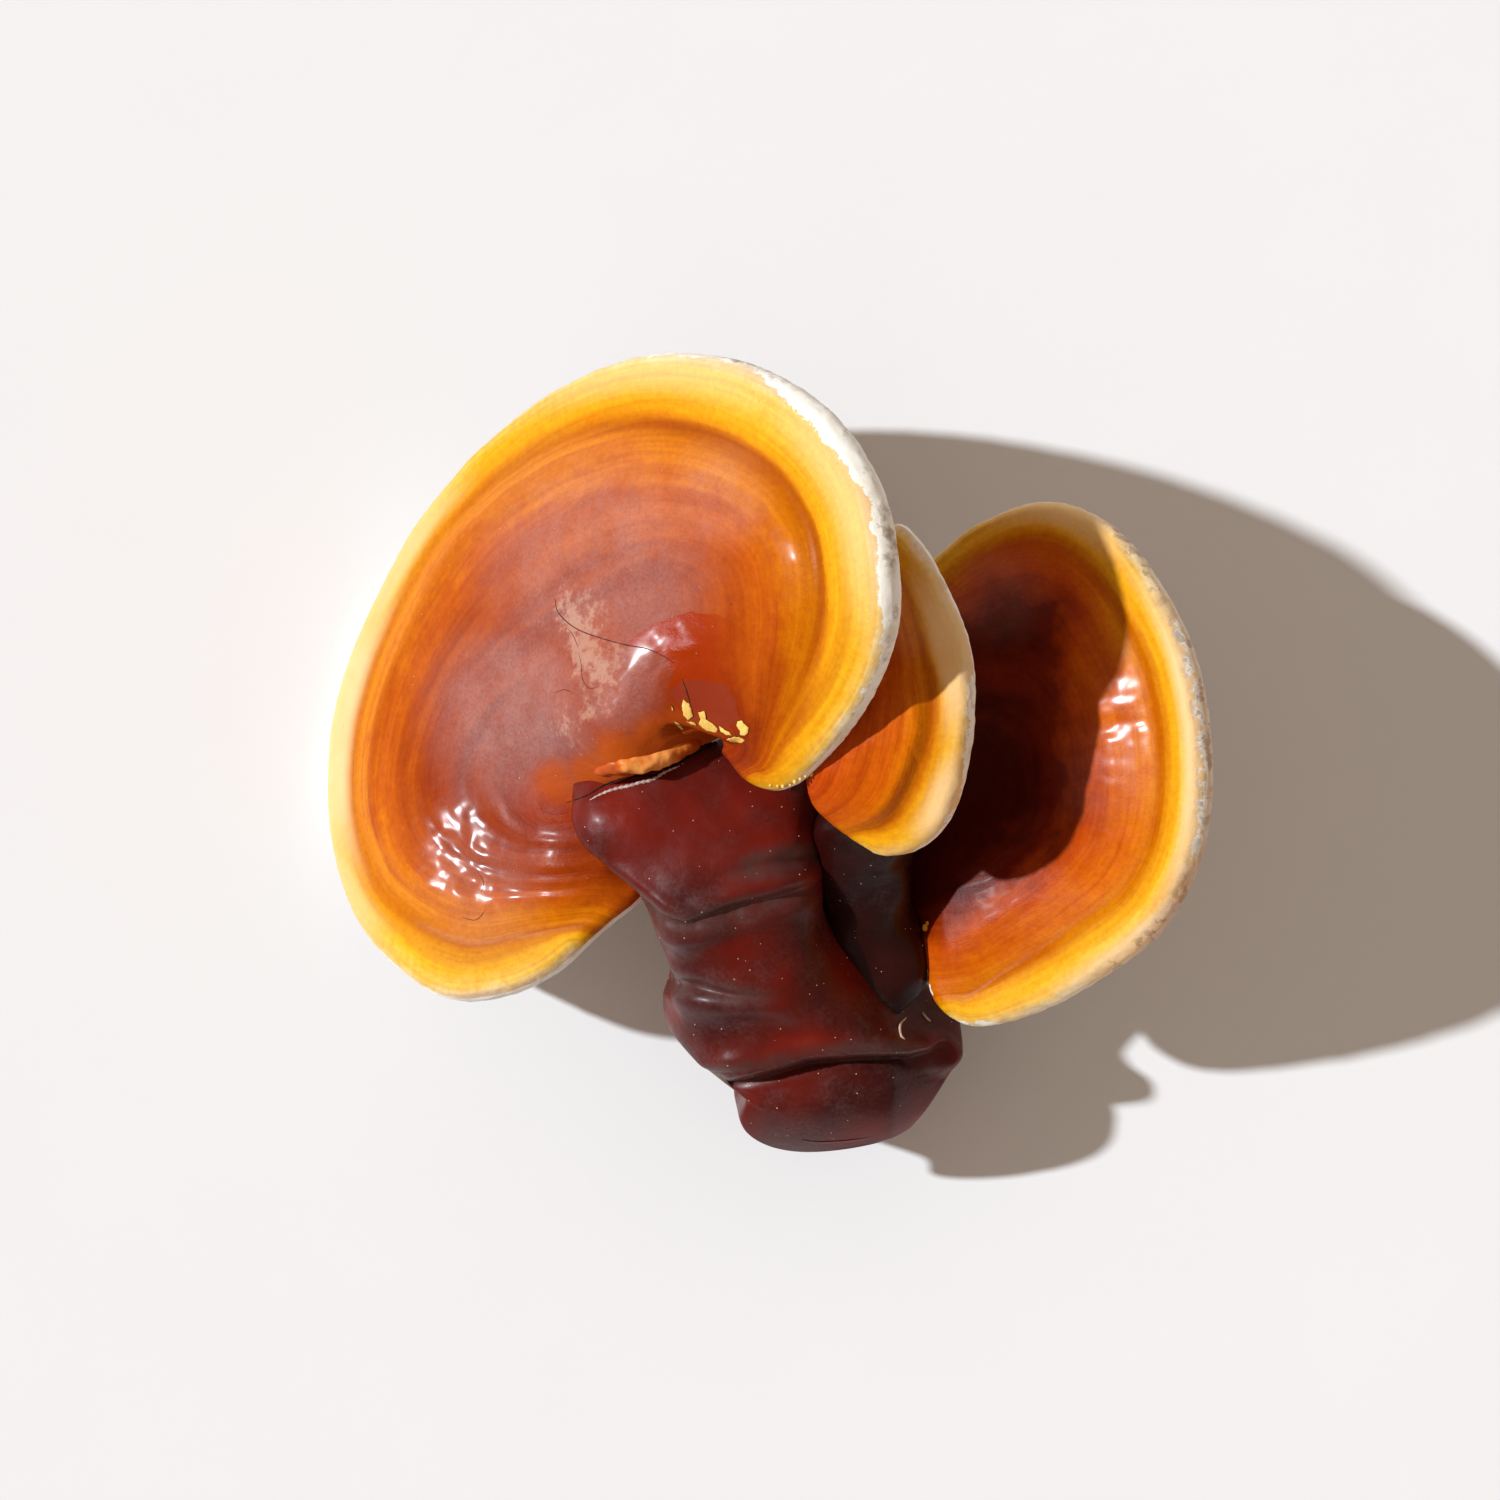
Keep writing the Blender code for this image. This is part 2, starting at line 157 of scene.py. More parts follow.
RIGHT_CAP = Cap(
    rim=(
        (29, 30, 23.5), (36.5, 35.5, 29.5), (46.5, 38.5, 37.5), (55.5, 34.5, 45), (62.5, 25, 52),
        (67.5, 13, 56), (69.5, -2.5, 58), (68, -16.5, 56), (63, -27, 52), (54.5, -34.5, 46.5),
        (44.5, -40.5, 38.5), (35, -43, 32.5), (29.5, -40, 30.5), (27.5, -34, 28.8), (26, -28, 27),
        (24, -22, 25), (21, -12.5, 20.5), (18, -3, 10.5), (16, 7, 1.5), (17, 17, 0.5),
        (21.5, 25, 9),
    ),
    crown=((42, -2, 35), (51, 4, 40.5), (57.5, 2, 46), (48, -16.5, 38.3), (40, -20.5, 34.3)),
    # The root line is set so that the painted shade of the dark root falls in the shaded bowl rather than on
    # the lit lower left.
    held=(12, 20), root=((25, -8), (19, 6)), around=380, rings=64, edge=5,
    margins=(5, 5, 5.3, 6, 7, 7.5, 7.5, 7.5, 8, 8.5, 8, 7, 4.5, 2.5, 2, 2, 2, 2, 3, 4, 4.5),
    core=3, core_reach=20, ringed=0.07,
    crinkles=((54.5, 6, 12, 1.0), (53, -8, 9, 0.6), (40, -20, 8, 0.3), (42, 18, 10, 0.3)),
    ridges=((52, 4, 16, 0.06),), haze=((54, -4, 10, 0.2), (38, 24, 10, 0.3)),
    pale=(
        (74, 2, 34, 0.95, 0.52), (60, -36, 16, 0.95, 0.38), (40, -47, 16, 0.8, 0.28),
        (52, 42, 18, 0.7, 0.8),
    ),
    gleam=((55.5, 5, 11, 1.0), (53, -8, 8, 0.3), (62, 8, 16, 0.5), (46, 21, 7, 0.3)),
    wall=((27, -30, 14, 1.15), (34, -44, 7, 0.9), (70, 2, 34, 0.7)), shoulder=10.0, seam=0.24,
    swells=((51, 16, 51.5, -4, 1.0, 5.0),),
    # These deep patches lie on the top of the bowl in the caps' shadow: the darker red there is partly its
    # own, partly painted shade.
    deep=((45, 26, 16, 1.0), (30, 18, 14, 0.8)),
    scars=((70, 4, 30, 0.8), (62, -28, 16, 0.8), (47, -41, 8, 0.2), (60, 30, 12, 0.8)), flesh=-4,
)

SHEET_GIVE = 6.0  # how far a cap's sheet may pass by its points instead of bending sharply
EDGE_ROUND = 2.2  # depth inside the rim at which the edge has its full thickness
EDGE_DEPTHS = (0.0, 0.06, 0.16, 0.3, 0.5, 0.75, 1.05, 1.4, 1.8, 2.3)  # rings that round the edge
MARGIN_ROLL = 0.6
GROOVE_DEPTH = 1.0
GROOVE_WIDTH = 1.7
SEAM_PLACE = 1.2  # distance of the seam outside the groove
SEAM_WIDTH = 0.6
SHOULDER_RISE = 1.5
GROWTH_BLUR = 2.0  # how softly the growth lines of two sides of the rim meet
LIP_FADE = 5.0  # how far past its ends the lip fades out
LIP_DROP_WIDTH = 1.2
WORN_OFF = 0.15  # how much is worn off the edge on average
WEAR_REACH = 1.2
STEM_SHRUNK = 0.12  # how far the stem's skin lies under its stations' outline on average
FAR_OUTSIDE = -9.0  # the mark of a patch on points that can't be in it
EASING = 12  # points of a ring that corners of the growth lines are eased over

# ---------------------------------------------------------------- what the scene adds to those shapes

# Unevenness in layers: the height of its lumps, how wide they are, and the seed.
CAP_DENTS = ((0.16, 2.6, 2), (0.09, 1.4, 3))
CAP_WAVES = ((0.10, 5.0, 4),)
PORE_WAVES = ((0.12, 3.0, 6),)
RIM_WEAR = ((0.10, 1.6, 7), (0.08, 0.8, 8))
STEM_LUMPS = ((0.45, 9.0, 11), (0.16, 3.5, 12), (0.04, 1.2, 13))
LIP_LUMPS = ((1.0, 1.3, 31), (0.3, 0.65, 32))
# The lumpy bead along the lip: x, y and radius.
LIP_BEAD = (
    (-23.6, -3.4, 0.4), (-22.9, -3.2, 0.8), (-21, -2.5, 1.15), (-19.2, -2.1, 1.5), (-17, -1.7, 1.9),
    (-14.6, -1.2, 2.0), (-12.3, -0.3, 1.9), (-10, 0.6, 1.6), (-8.2, 1.2, 1.1), (-7.6, 1.4, 0.4),
)
LIP_LINE = tuple(point[:2] for point in LIP_BEAD)
LIP_STEPS = 120
LIP_AROUND = 36
LIP_EASING = 12  # steps on each side that the bead's height is evened over
LIP_SINK = 0.45  # share of its radius that the bead's centre lies below the skin
LIP_RELIEF = 0.16  # height of the bead's lumps as a share of its radius
# The hollow under the lip's right end: its line in the plan, depth and width.
LIP_HOLLOW = (((-12, 2.6), (-9.5, 2.2), (-7.5, 1.4), (-5.4, 0.7)), 2.4, 0.9)
# Outlines in the plan of the patches on the hump.
GLOSSY_PATCH = (
    (-19, 16), (-15.9, 18.5), (-13.6, 19.7), (-9.1, 20.9), (-4.5, 20.3), (-0.8, 18), (0.3, 13.5),
    (-0.3, 7.6), (-1.2, 2.3), (-3.8, 3), (-7.6, 5.3), (-10.8, 6), (-12.3, 9), (-11.6, 12.4), (-13.6, 14.4),
)
DULL_PATCH = (
    (-12.1, 8.8), (-10.2, 10.6), (-7.6, 10.6), (-3.8, 10), (-2.3, 7.6), (-1.8, 4.2), (-3.8, 3.3),
    (-6.8, 3.6), (-9.6, 4.9),
)
DUSTY_PATCH = (
    (-29.2, 25.4), (-26.9, 25.8), (-25.7, 22.2), (-22.9, 21.1), (-21.3, 16.7), (-19, 14.4),
    (-16.7, 12.9), (-18.2, 9.1), (-20.5, 5.2), (-23.4, 1.8), (-27.2, 1.2), (-28.9, 4), (-26.4, 9.1),
    (-27.5, 15.3), (-29.2, 19.2),
)
# Folds of the stem: how deep and how wide each is, then x, y in plan and strength along it.
FOLDS = (
    (1.0, 0.9, (
        (-21, -21, 1), (-17.9, -23, 1), (-14.1, -25.8, 1), (-9.9, -27.2, 1), (-6.5, -26.1, 1),
        (-1.6, -24.7, 1), (3.2, -23.3, 0.8), (8.1, -21.6, 0.6), (12, -19.5, 0),
    )),
    (0.7, 1.1, ((-6, -19.8, 0), (0.5, -17.9, 0.8), (3.9, -17.4, 1), (8.1, -16.6, 1), (12, -15.6, 0.4))),
    (0.9, 0.9, (
        (-16, -34.6, 1), (-11.7, -35.9, 1), (-7.9, -36.6, 1), (-3.7, -37.6, 0.9), (1.2, -38.2, 0.6),
        (6.5, -39, 0),
    )),
    (0.8, 0.9, (
        (-12, -52.5, 1), (-4.5, -50.8, 1), (5.8, -48.4, 1), (16.2, -46.8, 1), (24.4, -46.7, 0.8),
        (29, -45.6, 0),
    )),
)
# The lowest fold of the stem in plan, where the bulge over the cut foot begins.
FOOT_FOLD = (
    (-12, -52.5), (-4.5, -50.8), (-0.4, -50), (5.8, -48.4), (9.1, -47.4), (16.2, -46.8), (24.4, -46.7),
    (27.8, -45.9), (31, -44),
)
FOOT_TOP = (11.0, -52.0, 34.0)  # the highest point of that bulge
FOOT_CURVE = (0.02, 0.10)  # how fast the bulge curves down across and along
FOOT_SHOULDER = (11.0, 0.6)  # how far right of its top the bulge also falls straight, and how steeply
FOOT_START = -44.0  # y where the foot's cut sides begin
FOOT_SMOOTHING = 40  # rounds of smoothing on the cut sides

# Where the stems are redder, or darker where the strength is negative: x, y, z, reach and strength. They are
# partly the varnish's own patches, partly painted light on the tops of the bulges and painted shade on the
# foot's side away from the sun.
STEM_TONE_AND_LIGHT = (
    (-14, -13, 50, 11, 0.10), (-10, -21, 46, 8, 0.10), (8, -36, 42, 11, -0.06), (14, -42, 38, 8, -0.02),
    (-14, -6, 48, 7, -0.12), (10, -51, 34, 7, 0.06), (-3, -12, 50, 8, 0.08), (24, -52, 28, 9, -0.12),
    (-6, -38, 36, 8, -0.08),
)
# The side stem's redder facet at its foot, where the sun falls on it: painted light against its painted
# shade.
SIDE_FACET_LIGHT = ((24, -34, 32, 7, 0.22),)
# The side stem is drawn towards black as painted shade, for it lies in the shadow of the caps.
SIDE_PAINTED_SHADE = 0.87  # how far the side stem's colour is drawn towards black


def smooth_step(value):
    value = np.clip(value, 0.0, 1.0)
    return value * value * (3.0 - 2.0 * value)


def bell(distance, width):
    """1 at no distance, falling softly to nothing past the width."""
    return np.exp(-((distance / width) ** 2))


def unit(vectors):
    return vectors / (np.linalg.norm(vectors, axis=-1, keepdims=True) + 1e-12)


def full_turn(count):
    return np.linspace(0.0, 2 * math.pi, count, endpoint=False)


def smooth_curve(points, count, closed):
    """Even steps along a smooth curve through the points."""
    points = np.asarray(points, float)
    if closed:
        knots = np.vstack([points[-1:], points, points[:2]])
    else:
        knots = np.vstack([2 * points[0] - points[1], points, 2 * points[-1] - points[-2]])
    chord = np.linalg.norm(np.diff(knots[:, :3], axis=0), axis=1)
    slope = (knots[2:] - knots[:-2]) / (chord[1:] + chord[:-1])[:, None]
    t = np.linspace(0.0, 1.0, 24, endpoint=False)[:, None]
    pieces = []
    for i in range(len(knots) - 3):
        start, end = knots[i + 1], knots[i + 2]
        leave, arrive = slope[i] * chord[i + 1], slope[i + 1] * chord[i + 1]
        ends = start * (2 * t**3 - 3 * t**2 + 1) + end * (3 * t**2 - 2 * t**3)
        pieces.append(ends + leave * (t**3 - 2 * t**2 + t) + arrive * (t**3 - t**2))
    curve = np.vstack(pieces + [knots[-2:-1]])
    run = np.concatenate([[0.0], np.cumsum(np.linalg.norm(np.diff(curve[:, :3], axis=0), axis=1))])
    at = np.linspace(0.0, run[-1], count, endpoint=not closed)
    return np.stack([np.interp(at, run, column) for column in curve.T], axis=1)


def bent_sheet(points):
    """The height z(x, y) of a thin springy sheet bent through the points."""
    points = np.asarray(points, float)
    plan = points[:, :2]

    def pull(at):
        square = ((at[:, None, :] - plan[None, :, :]) ** 2).sum(axis=2)
        return 0.5 * square * np.log(square + 1e-9)

    flat = np.hstack([np.ones((len(plan), 1)), plan])
    system = np.block([[pull(plan) + SHEET_GIVE * np.eye(len(plan)), flat], [flat.T, np.zeros((3, 3))]])
    weights = np.linalg.solve(system, np.concatenate([points[:, 2], np.zeros(3)]))
    return lambda at: pull(at) @ weights[:-3] + weights[-3] + at @ weights[-2:]


def sheet_normal(sheet, plan):
    step = 0.5
    fall_x = (sheet(plan + (step, 0)) - sheet(plan - (step, 0))) / (2 * step)
    fall_y = (sheet(plan + (0, step)) - sheet(plan - (0, step))) / (2 * step)
    return unit(np.stack([-fall_x, -fall_y, np.ones(len(plan))], axis=1))


SCRAMBLE = (73856093, 19349663, 83492791)  # large odd numbers that make neighbouring corners unlike


def lumpiness(points, size, seed):
    """Smooth random unevenness between -1 and 1, with lumps about as wide as the size."""
    points = np.asarray(points, float)
    if points.shape[1] == 2:
        points = np.column_stack([points, np.zeros(len(points))])
    at = points / size + seed * 17.31
    cell = np.floor(at).astype(np.int64)
    part = smooth_step(at - cell)
    total = np.zeros(len(points))
    for corner in range(8):
        step = np.array([corner & 1, (corner >> 1) & 1, corner >> 2])
        key = (cell + step) @ np.array(SCRAMBLE) + seed * 2654435
        key = (key ^ (key >> 13)) * 1274126177 % 4294967296
        value = ((key ^ (key >> 16)) % 65536) / 32767.5 - 1.0
        total += value * np.prod(np.where(step == 1, part, 1.0 - part), axis=1)
    return total


def uneven(points, layers):
    return sum(height * lumpiness(points, size, seed) for height, size, seed in layers)


def line_distance(plan, line):
    """Distance from each point to a line of straight pieces."""
    best = np.full(len(plan), 1e9)
    for start, end in zip(np.asarray(line[:-1], float), np.asarray(line[1:], float)):
        run = end - start
        share = np.clip(((plan - start) @ run) / (run @ run), 0.0, 1.0)
        best = np.minimum(best, np.linalg.norm(plan - start - share[:, None] * run, axis=1))
    return best


def inside_distance(plan, outline):
    """How far inside an outline each point is; negative outside."""
    closed = tuple(outline) + (outline[0],)
    distance = line_distance(plan, closed)
    inside = np.zeros(len(plan), bool)
    for (x0, y0), (x1, y1) in zip(closed[:-1], closed[1:]):
        crosses = (plan[:, 1] < y0) != (plan[:, 1] < y1)
        at = x0 + (plan[:, 1] - y0) * (x1 - x0) / (y1 - y0 + 1e-12)
        inside ^= crosses & (plan[:, 0] < at)
    return np.where(inside, distance, -distance)


# ---------------------------------------------------------------- caps


def rim_depth(points, rim):
    """Distance of each point from the rim, a line of close points in space."""
    depth = np.empty(len(points))
    for start in range(0, len(points), 4000):
        block = points[start:start + 4000]
        square = ((block[:, None, :] - rim[None, :, :]) ** 2).sum(axis=2)
        depth[start:start + 4000] = np.sqrt(square.min(axis=1))
    return depth


def grown_distance(points, rim):
    """Distance from the rim, rounded off where two sides of the rim are equally far."""
    step = np.median(np.linalg.norm(np.diff(rim, axis=0), axis=1))
    grown = np.empty(len(points))
    for start in range(0, len(points), 4000):
        block = points[start:start + 4000]
        far = np.sqrt(((block[:, None, :] - rim[None, :, :]) ** 2).sum(axis=2))
        near = far.min(axis=1)
        crowd = np.exp((near[:, None] - far) / GROWTH_BLUR).sum(axis=1) * step
        crowd /= np.sqrt(2 * math.pi * GROWTH_BLUR * near + 4 * GROWTH_BLUR**2)
        soft = -GROWTH_BLUR * np.log(np.maximum(crowd, 0.4))
        grown[start:start + 4000] = near + soft * smooth_step((near - 2.0) / 4.0)
    return grown


def eased(values, around):
    """Values on rings, smoothed along each ring away from the rim, so that no growth line has a corner."""
    rings = values[:-1].reshape(-1, around)
    shifts = np.arange(-2 * EASING, 2 * EASING + 1)
    weights = bell(shifts, EASING)
    smooth = sum(w * np.roll(rings, k, axis=1) for k, w in zip(shifts, weights)) / weights.sum()
    share = smooth_step((rings - 1.5) / 5.0)
    return np.append((rings + (smooth - rings) * share).ravel(), values[-1])


def ring_plan(cap, depths, shares_in):
    """Rings of plan points, from the rim inwards, and the crown point that they close on."""
    rim = smooth_curve(cap.rim, cap.around, True)[:, :2]
    crown = np.array(cap.crown[0][:2], float)
    reach = np.linalg.norm(rim - crown, axis=1)
    squeeze = np.minimum(1.0, 0.55 * reach / depths[-1])
    shares = [1.0 - depth * squeeze / reach for depth in depths]
    shares += [shares[-1] * share for share in shares_in]
    rings = [crown + share[:, None] * (rim - crown) for share in shares]
    return np.vstack(rings + [crown[None]])


class Growth:
    """Where each point of a cap's skin is in the mushroom's growth."""

    def __init__(self, cap, plan, depth, grown_depth):
        self.plan = plan
        self.seen = plan  # where the finished skin lies in the plan
        self.depth = depth
        self.grown_depth = grown_depth
        self.margin = margin_width(cap, plan)
        self.past_margin = grown_depth - self.margin  # negative in the pale margin
        self.wide = np.clip((self.margin - 4.0) / 9.0, 0.0, 1.0) ** 1.4  # 0 at narrow margins
        self.away = line_distance(plan, cap.root)
        inner = np.maximum(self.past_margin, 0.0)
        self.ring = inner / (inner + self.away + 1e-6)  # 0 at the groove and 1 at the root
        self.grown = smooth_step((self.away - 1.5) / 9.0)  # 0 at the root and 1 on the open cap
        self.zone = np.minimum(grown_depth, self.margin) + 45.0 * self.ring  # the same along a growth line
        self.share = np.clip(grown_depth / self.margin, 0.0, 1.0)  # of the margin, from the rim inwards
        self.out = unit(plan - np.mean(cap.root, axis=0))  # the way out from the root


def margin_width(cap, plan):
    """The margin's width at each point, from the part of the rim that it looks out on."""
    crown = np.array(cap.crown[0][:2], float)
    rim = np.array(cap.rim)[:, :2] - crown
    turn = np.arctan2(rim[:, 1], rim[:, 0])
    order = np.argsort(turn)
    dial = np.linspace(-math.pi, math.pi, 360, endpoint=False)
    width = np.interp(dial, turn[order], np.array(cap.margins, float)[order], period=2 * math.pi)
    width = sum(np.roll(width, shift) for shift in range(-7, 8)) / 15.0
    look = np.arctan2(plan[:, 1] - crown[1], plan[:, 0] - crown[0])
    out = smooth_step(np.linalg.norm(plan - crown, axis=1) / 14.0)
    return width.mean() + (np.interp(look, dial, width, period=2 * math.pi) - width.mean()) * out


def patches(plan, table):
    """How strongly each point is inside the round soft-edged patches of a table, up to 1."""
    total = np.zeros(len(plan))
    for x, y, reach, strength in table:
        far = np.linalg.norm(plan - (x, y), axis=1) / reach
        total = np.maximum(total, strength * smooth_step(1.4 * (1.0 - far)))
    return total


def edge_half(cap, depth):
    """Half the thickness of the blunt round edge, at a depth inside the rim."""
    return cap.edge / 2 * np.sqrt(1.0 - (1.0 - np.clip(depth / EDGE_ROUND, 0.0, 1.0)) ** 2)


def past_lip(lip, plan):
    """1 on the stem's side of the lip and 0 on the cap's side."""
    start, end = np.array(lip, float)
    length = np.linalg.norm(end - start)
    ahead = (end - start) / length
    along = (plan - start) @ ahead
    beyond = (plan - start) @ np.array([ahead[1], -ahead[0]])
    beside = smooth_step(along / LIP_FADE) * smooth_step((length + LIP_FADE - along) / LIP_FADE)
    return beside * smooth_step(beyond / LIP_DROP_WIDTH)


def ring_ridges(across, plan, width, length, seed):
    """Unevenness that is drawn out along the growth rings."""
    return lumpiness(np.column_stack([across / width, plan / length]), 1.0, seed)


def upper_lift(cap, growth, dropped=True):
    """Height of the lacquered skin over the sheet: margin, groove, shoulder, growth rings and knob."""
    depth, plan, past_margin, seen = growth.depth, growth.plan, growth.past_margin, growth.seen
    roll = MARGIN_ROLL * growth.wide * np.sin(math.pi * growth.share)
    groove = GROOVE_DEPTH * growth.wide * bell(past_margin, GROOVE_WIDTH)
    lift = edge_half(cap, depth) + growth.grown * (roll - groove)
    lift += SHOULDER_RISE * smooth_step(past_margin / cap.shoulder) * smooth_step(depth / 8.0)
    lift += cap.seam * bell(past_margin + SEAM_PLACE, SEAM_WIDTH) * growth.grown
    wander = growth.zone + 1.2 * lumpiness(plan, 12.0, 1)
    ridges = ring_ridges(wander, plan, 2.7, 34.0, 9) + 0.4 * ring_ridges(wander, plan, 1.3, 20.0, 10)
    rings = cap.ringed * ridges * (0.35 + 0.65 * smooth_step(past_margin / 4.0)) * growth.grown
    rings += patches(seen, cap.ridges) * ridges
    lift += rings * smooth_step(depth / 2.0)
    dents = uneven(plan, CAP_DENTS) * smooth_step(past_margin / 3.0)
    lift += (0.22 + patches(seen, cap.crinkles)) * dents
    lift += uneven(plan, CAP_WAVES) * smooth_step(depth / 3.0)
    if cap.knob:
        x, y, radius, height = cap.knob
        lift += height * bell(np.linalg.norm(plan - (x, y), axis=1), radius) * smooth_step(depth / 4.0)
    for x0, y0, x1, y1, height, width in cap.swells:
        ridge = line_distance(seen, ((x0, y0), (x1, y1)))
        lift += height * bell(ridge, width) * smooth_step(depth / 6.0)
    if cap.lip and dropped:
        lift -= np.maximum(lift - cap.edge / 2, 0.0) * past_lip(cap.lip, seen)
        line, deep, width = LIP_HOLLOW
        lift -= deep * bell(line_distance(seen, line), width)
    return lift


def free_rim(cap, rim):
    """The part of the rim that grows outwards, without the stretch that the stem holds."""
    points = np.array(cap.rim, float)[:, :2]
    nearest = ((rim[:, None, :2] - points[None]) ** 2).sum(axis=2).argmin(axis=1)
    return rim[(nearest < cap.held[0]) | (nearest > cap.held[1])]


def cap_skin(cap, sheet, plan, upper, rim):
    """The points of a cap's lacquered upper skin or of its underside, and their growth."""
    middle = np.column_stack([plan, sheet(plan)])
    depth = rim_depth(middle, rim)
    depth[:cap.around] = 0.0
    grown_depth = eased(grown_distance(middle, free_rim(cap, rim)), cap.around)
    growth = Growth(cap, plan, eased(depth, cap.around), grown_depth)
    normal = sheet_normal(sheet, plan)
    if upper:
        growth.seen = (middle + normal * upper_lift(cap, growth, dropped=False)[:, None])[:, :2]
        lift = upper_lift(cap, growth)
    else:
        lift = -edge_half(cap, depth) - cap.core * smooth_step(depth / cap.core_reach)
        lift += uneven(plan, PORE_WAVES) * smooth_step(depth / 2.0)
    skin = middle + normal * lift[:, None]
    worn = (uneven(skin, RIM_WEAR) - WORN_OFF) * bell(depth, WEAR_REACH)
    skin += np.column_stack([unit(plan - rim.mean(axis=0)[:2]) * worn[:, None], worn])
    return skin, growth


def skin_marks(cap, growth):
    """What the finish reads from the lacquered skin, and the value that each mark has on bare flesh."""
    seen, past_margin = growth.seen, growth.past_margin
    gloss = 0.02 + 0.54 * patches(seen, cap.gleam)
    marks = {
        "tint": (cap_tint(cap, growth), 0.0),
        "haze": (patches(seen, cap.haze), 0.0),
        "groove": ((0.35 + 0.65 * growth.wide) * bell(past_margin, 1.4), 0.0),
        "pale": (paleness(cap, growth), 0.0),
        "wall": (bare_wall(cap, growth), FAR_OUTSIDE),
        "warm": (patches(seen, cap.warm), 0.0),
        "gloss": (smooth_step((past_margin - 0.8) / 2.0) * gloss, 0.0),
    }
    if cap.lip:
        for mark, outline in (("glossy", GLOSSY_PATCH), ("dull", DULL_PATCH), ("dusty", DUSTY_PATCH)):
            marks[mark] = (inside_distance(seen, outline), FAR_OUTSIDE)
        marks["fading"] = (smooth_step((seen[:, 0] + 9.0) / 9.0), 0.0)
        marks["bead"] = (bell(line_distance(seen, LIP_LINE), 2.6), 0.0)
    return marks


def grow_cap(name, cap):
    """A whole cap: the lacquered skin, the round edge and the pores under it."""
    sheet = bent_sheet(cap.rim + cap.crown)
    rim = smooth_curve(cap.rim, 1400, True)[:, :2]
    rim = np.column_stack([rim, sheet(rim)])
    top_depths = EDGE_DEPTHS + tuple(np.arange(2.75, 1.2 * max(cap.margins), 0.45))
    top_shares = np.linspace(1.0, 0.0, cap.rings, endpoint=False)[1:]
    top, growth = cap_skin(cap, sheet, ring_plan(cap, top_depths, top_shares), True, rim)
    under_depths = EDGE_DEPTHS + (3.2, 4.4, 6.0)
    under_shares = np.linspace(1.0, 0.0, cap.rings // 3, endpoint=False)[1:]
    under, under_growth = cap_skin(cap, sheet, ring_plan(cap, under_depths, under_shares), False, rim)
    around = cap.around
    top_rings = top[:-1].reshape(-1, around, 3)
    under_rings = under[:-1].reshape(-1, around, 3)[1:]
    rings = list(under_rings[::-1]) + list(top_rings)

    def laid_out(under_value, top_value):
        """Values in the order of the skin's points: under pole, under rings inside out, top rings, pole."""
        tail = under_value.shape[1:]
        inner = under_value[:-1].reshape(-1, around, *tail)[1:][::-1]
        return np.concatenate([under_value[-1:], inner.reshape(-1, *tail), top_value])

    sides = (under_growth, growth)
    marks = {
        "grain": laid_out(*(np.column_stack([side.zone, 8.0 * side.out]) for side in sides)),
        "depth": laid_out(*(side.depth for side in sides)),
        "scar": laid_out(*(patches(side.seen, cap.scars) * smooth_step(1.3 - side.depth) for side in sides)),
    }
    for mark, (values, on_flesh) in skin_marks(cap, growth).items():
        marks[mark] = laid_out(np.full(len(under), on_flesh), values)
    flesh_faces = around + (len(under_rings) + cap.flesh) * around
    return closed_skin(name, rings, under[-1], top[-1], marks, flesh_faces=flesh_faces)


def paleness(cap, growth):
    """How pale each point of the margin is, up to 1."""
    inwards = growth.grown_depth / growth.margin
    pale = np.zeros(len(growth.plan))
    for x, y, reach, strength, share in cap.pale:
        here = patches(growth.plan, ((x, y, reach, strength),))
        pale = np.maximum(pale, here * smooth_step((share - inwards) / 0.35))
    return pale


def bare_wall(cap, growth):
    """How far each point is inside the bare flesh along the rim; negative on the skin."""
    width = patches(growth.seen, cap.wall)
    return width - 0.35 - growth.depth - 1.2 * smooth_step(1.0 - width / 0.6)


def cap_tint(cap, growth):
    """Where the colour stands between the cream rim, 0, and the dark root, 1."""
    tint = 0.4 * growth.share ** (0.85 + 0.15 * growth.wide) + 0.6 * growth.ring
    tint += 0.12 * patches(growth.plan, cap.deep) * smooth_step(growth.past_margin / 2.0 + 0.3)
    return 1.0 - (1.0 - tint) * smooth_step((growth.away + 5.0) / 14.0)


def closed_skin(name, rings, first_pole, last_pole, marks=None, material=None, flesh_faces=0):
    """A closed, smooth skin over rings of equal length, with a point at each end."""
    around = len(rings[0])
    points = np.vstack([first_pole, *rings, last_pole])
    points = (points - ORIGIN) * MM
    points[:, 2] = np.maximum(points[:, 2], 0.0)
    last = len(points) - 1
    k = np.arange(around)
    n = (k + 1) % around
    starts = 1 + around * np.arange(len(rings) - 1)
    quads = (np.stack([k, k + around, n + around, n], axis=1)[None] + starts[:, None, None]).reshape(-1, 4)
    faces = [(0, 1 + a, 1 + b) for a, b in zip(k, n)]
    faces += quads.tolist()
    faces += [(last, last - around + b, last - around + a) for a, b in zip(k, n)]
    a, b, c, d = (points[quads[:, corner]] - points[0] for corner in range(4))
    if (np.cross(b, c) * a + np.cross(c, d) * a).sum() < 0.0:
        faces = [face[::-1] for face in faces]
    mesh = bpy.data.meshes.new(name)
    mesh.from_pydata(points.tolist(), [], faces)
    for mark, values in (marks or {}).items():
        kind = "FLOAT_VECTOR" if values.ndim == 2 else "FLOAT"
        layer = mesh.attributes.new(mark, kind, "POINT")
        layer.data.foreach_set("vector" if values.ndim == 2 else "value", values.astype(np.float32).ravel())
    if flesh_faces:
        slots = np.zeros(len(faces), np.int32)
        slots[:flesh_faces] = 1
        mesh.polygons.foreach_set("material_index", slots)
    if material:
        mesh.materials.append(material)
    mesh.shade_smooth()
    return place(name, mesh)


def place(name, data):
    thing = bpy.data.objects.new(name, data)
    bpy.context.scene.collection.objects.link(thing)
    return thing


# ---------------------------------------------------------------- stems


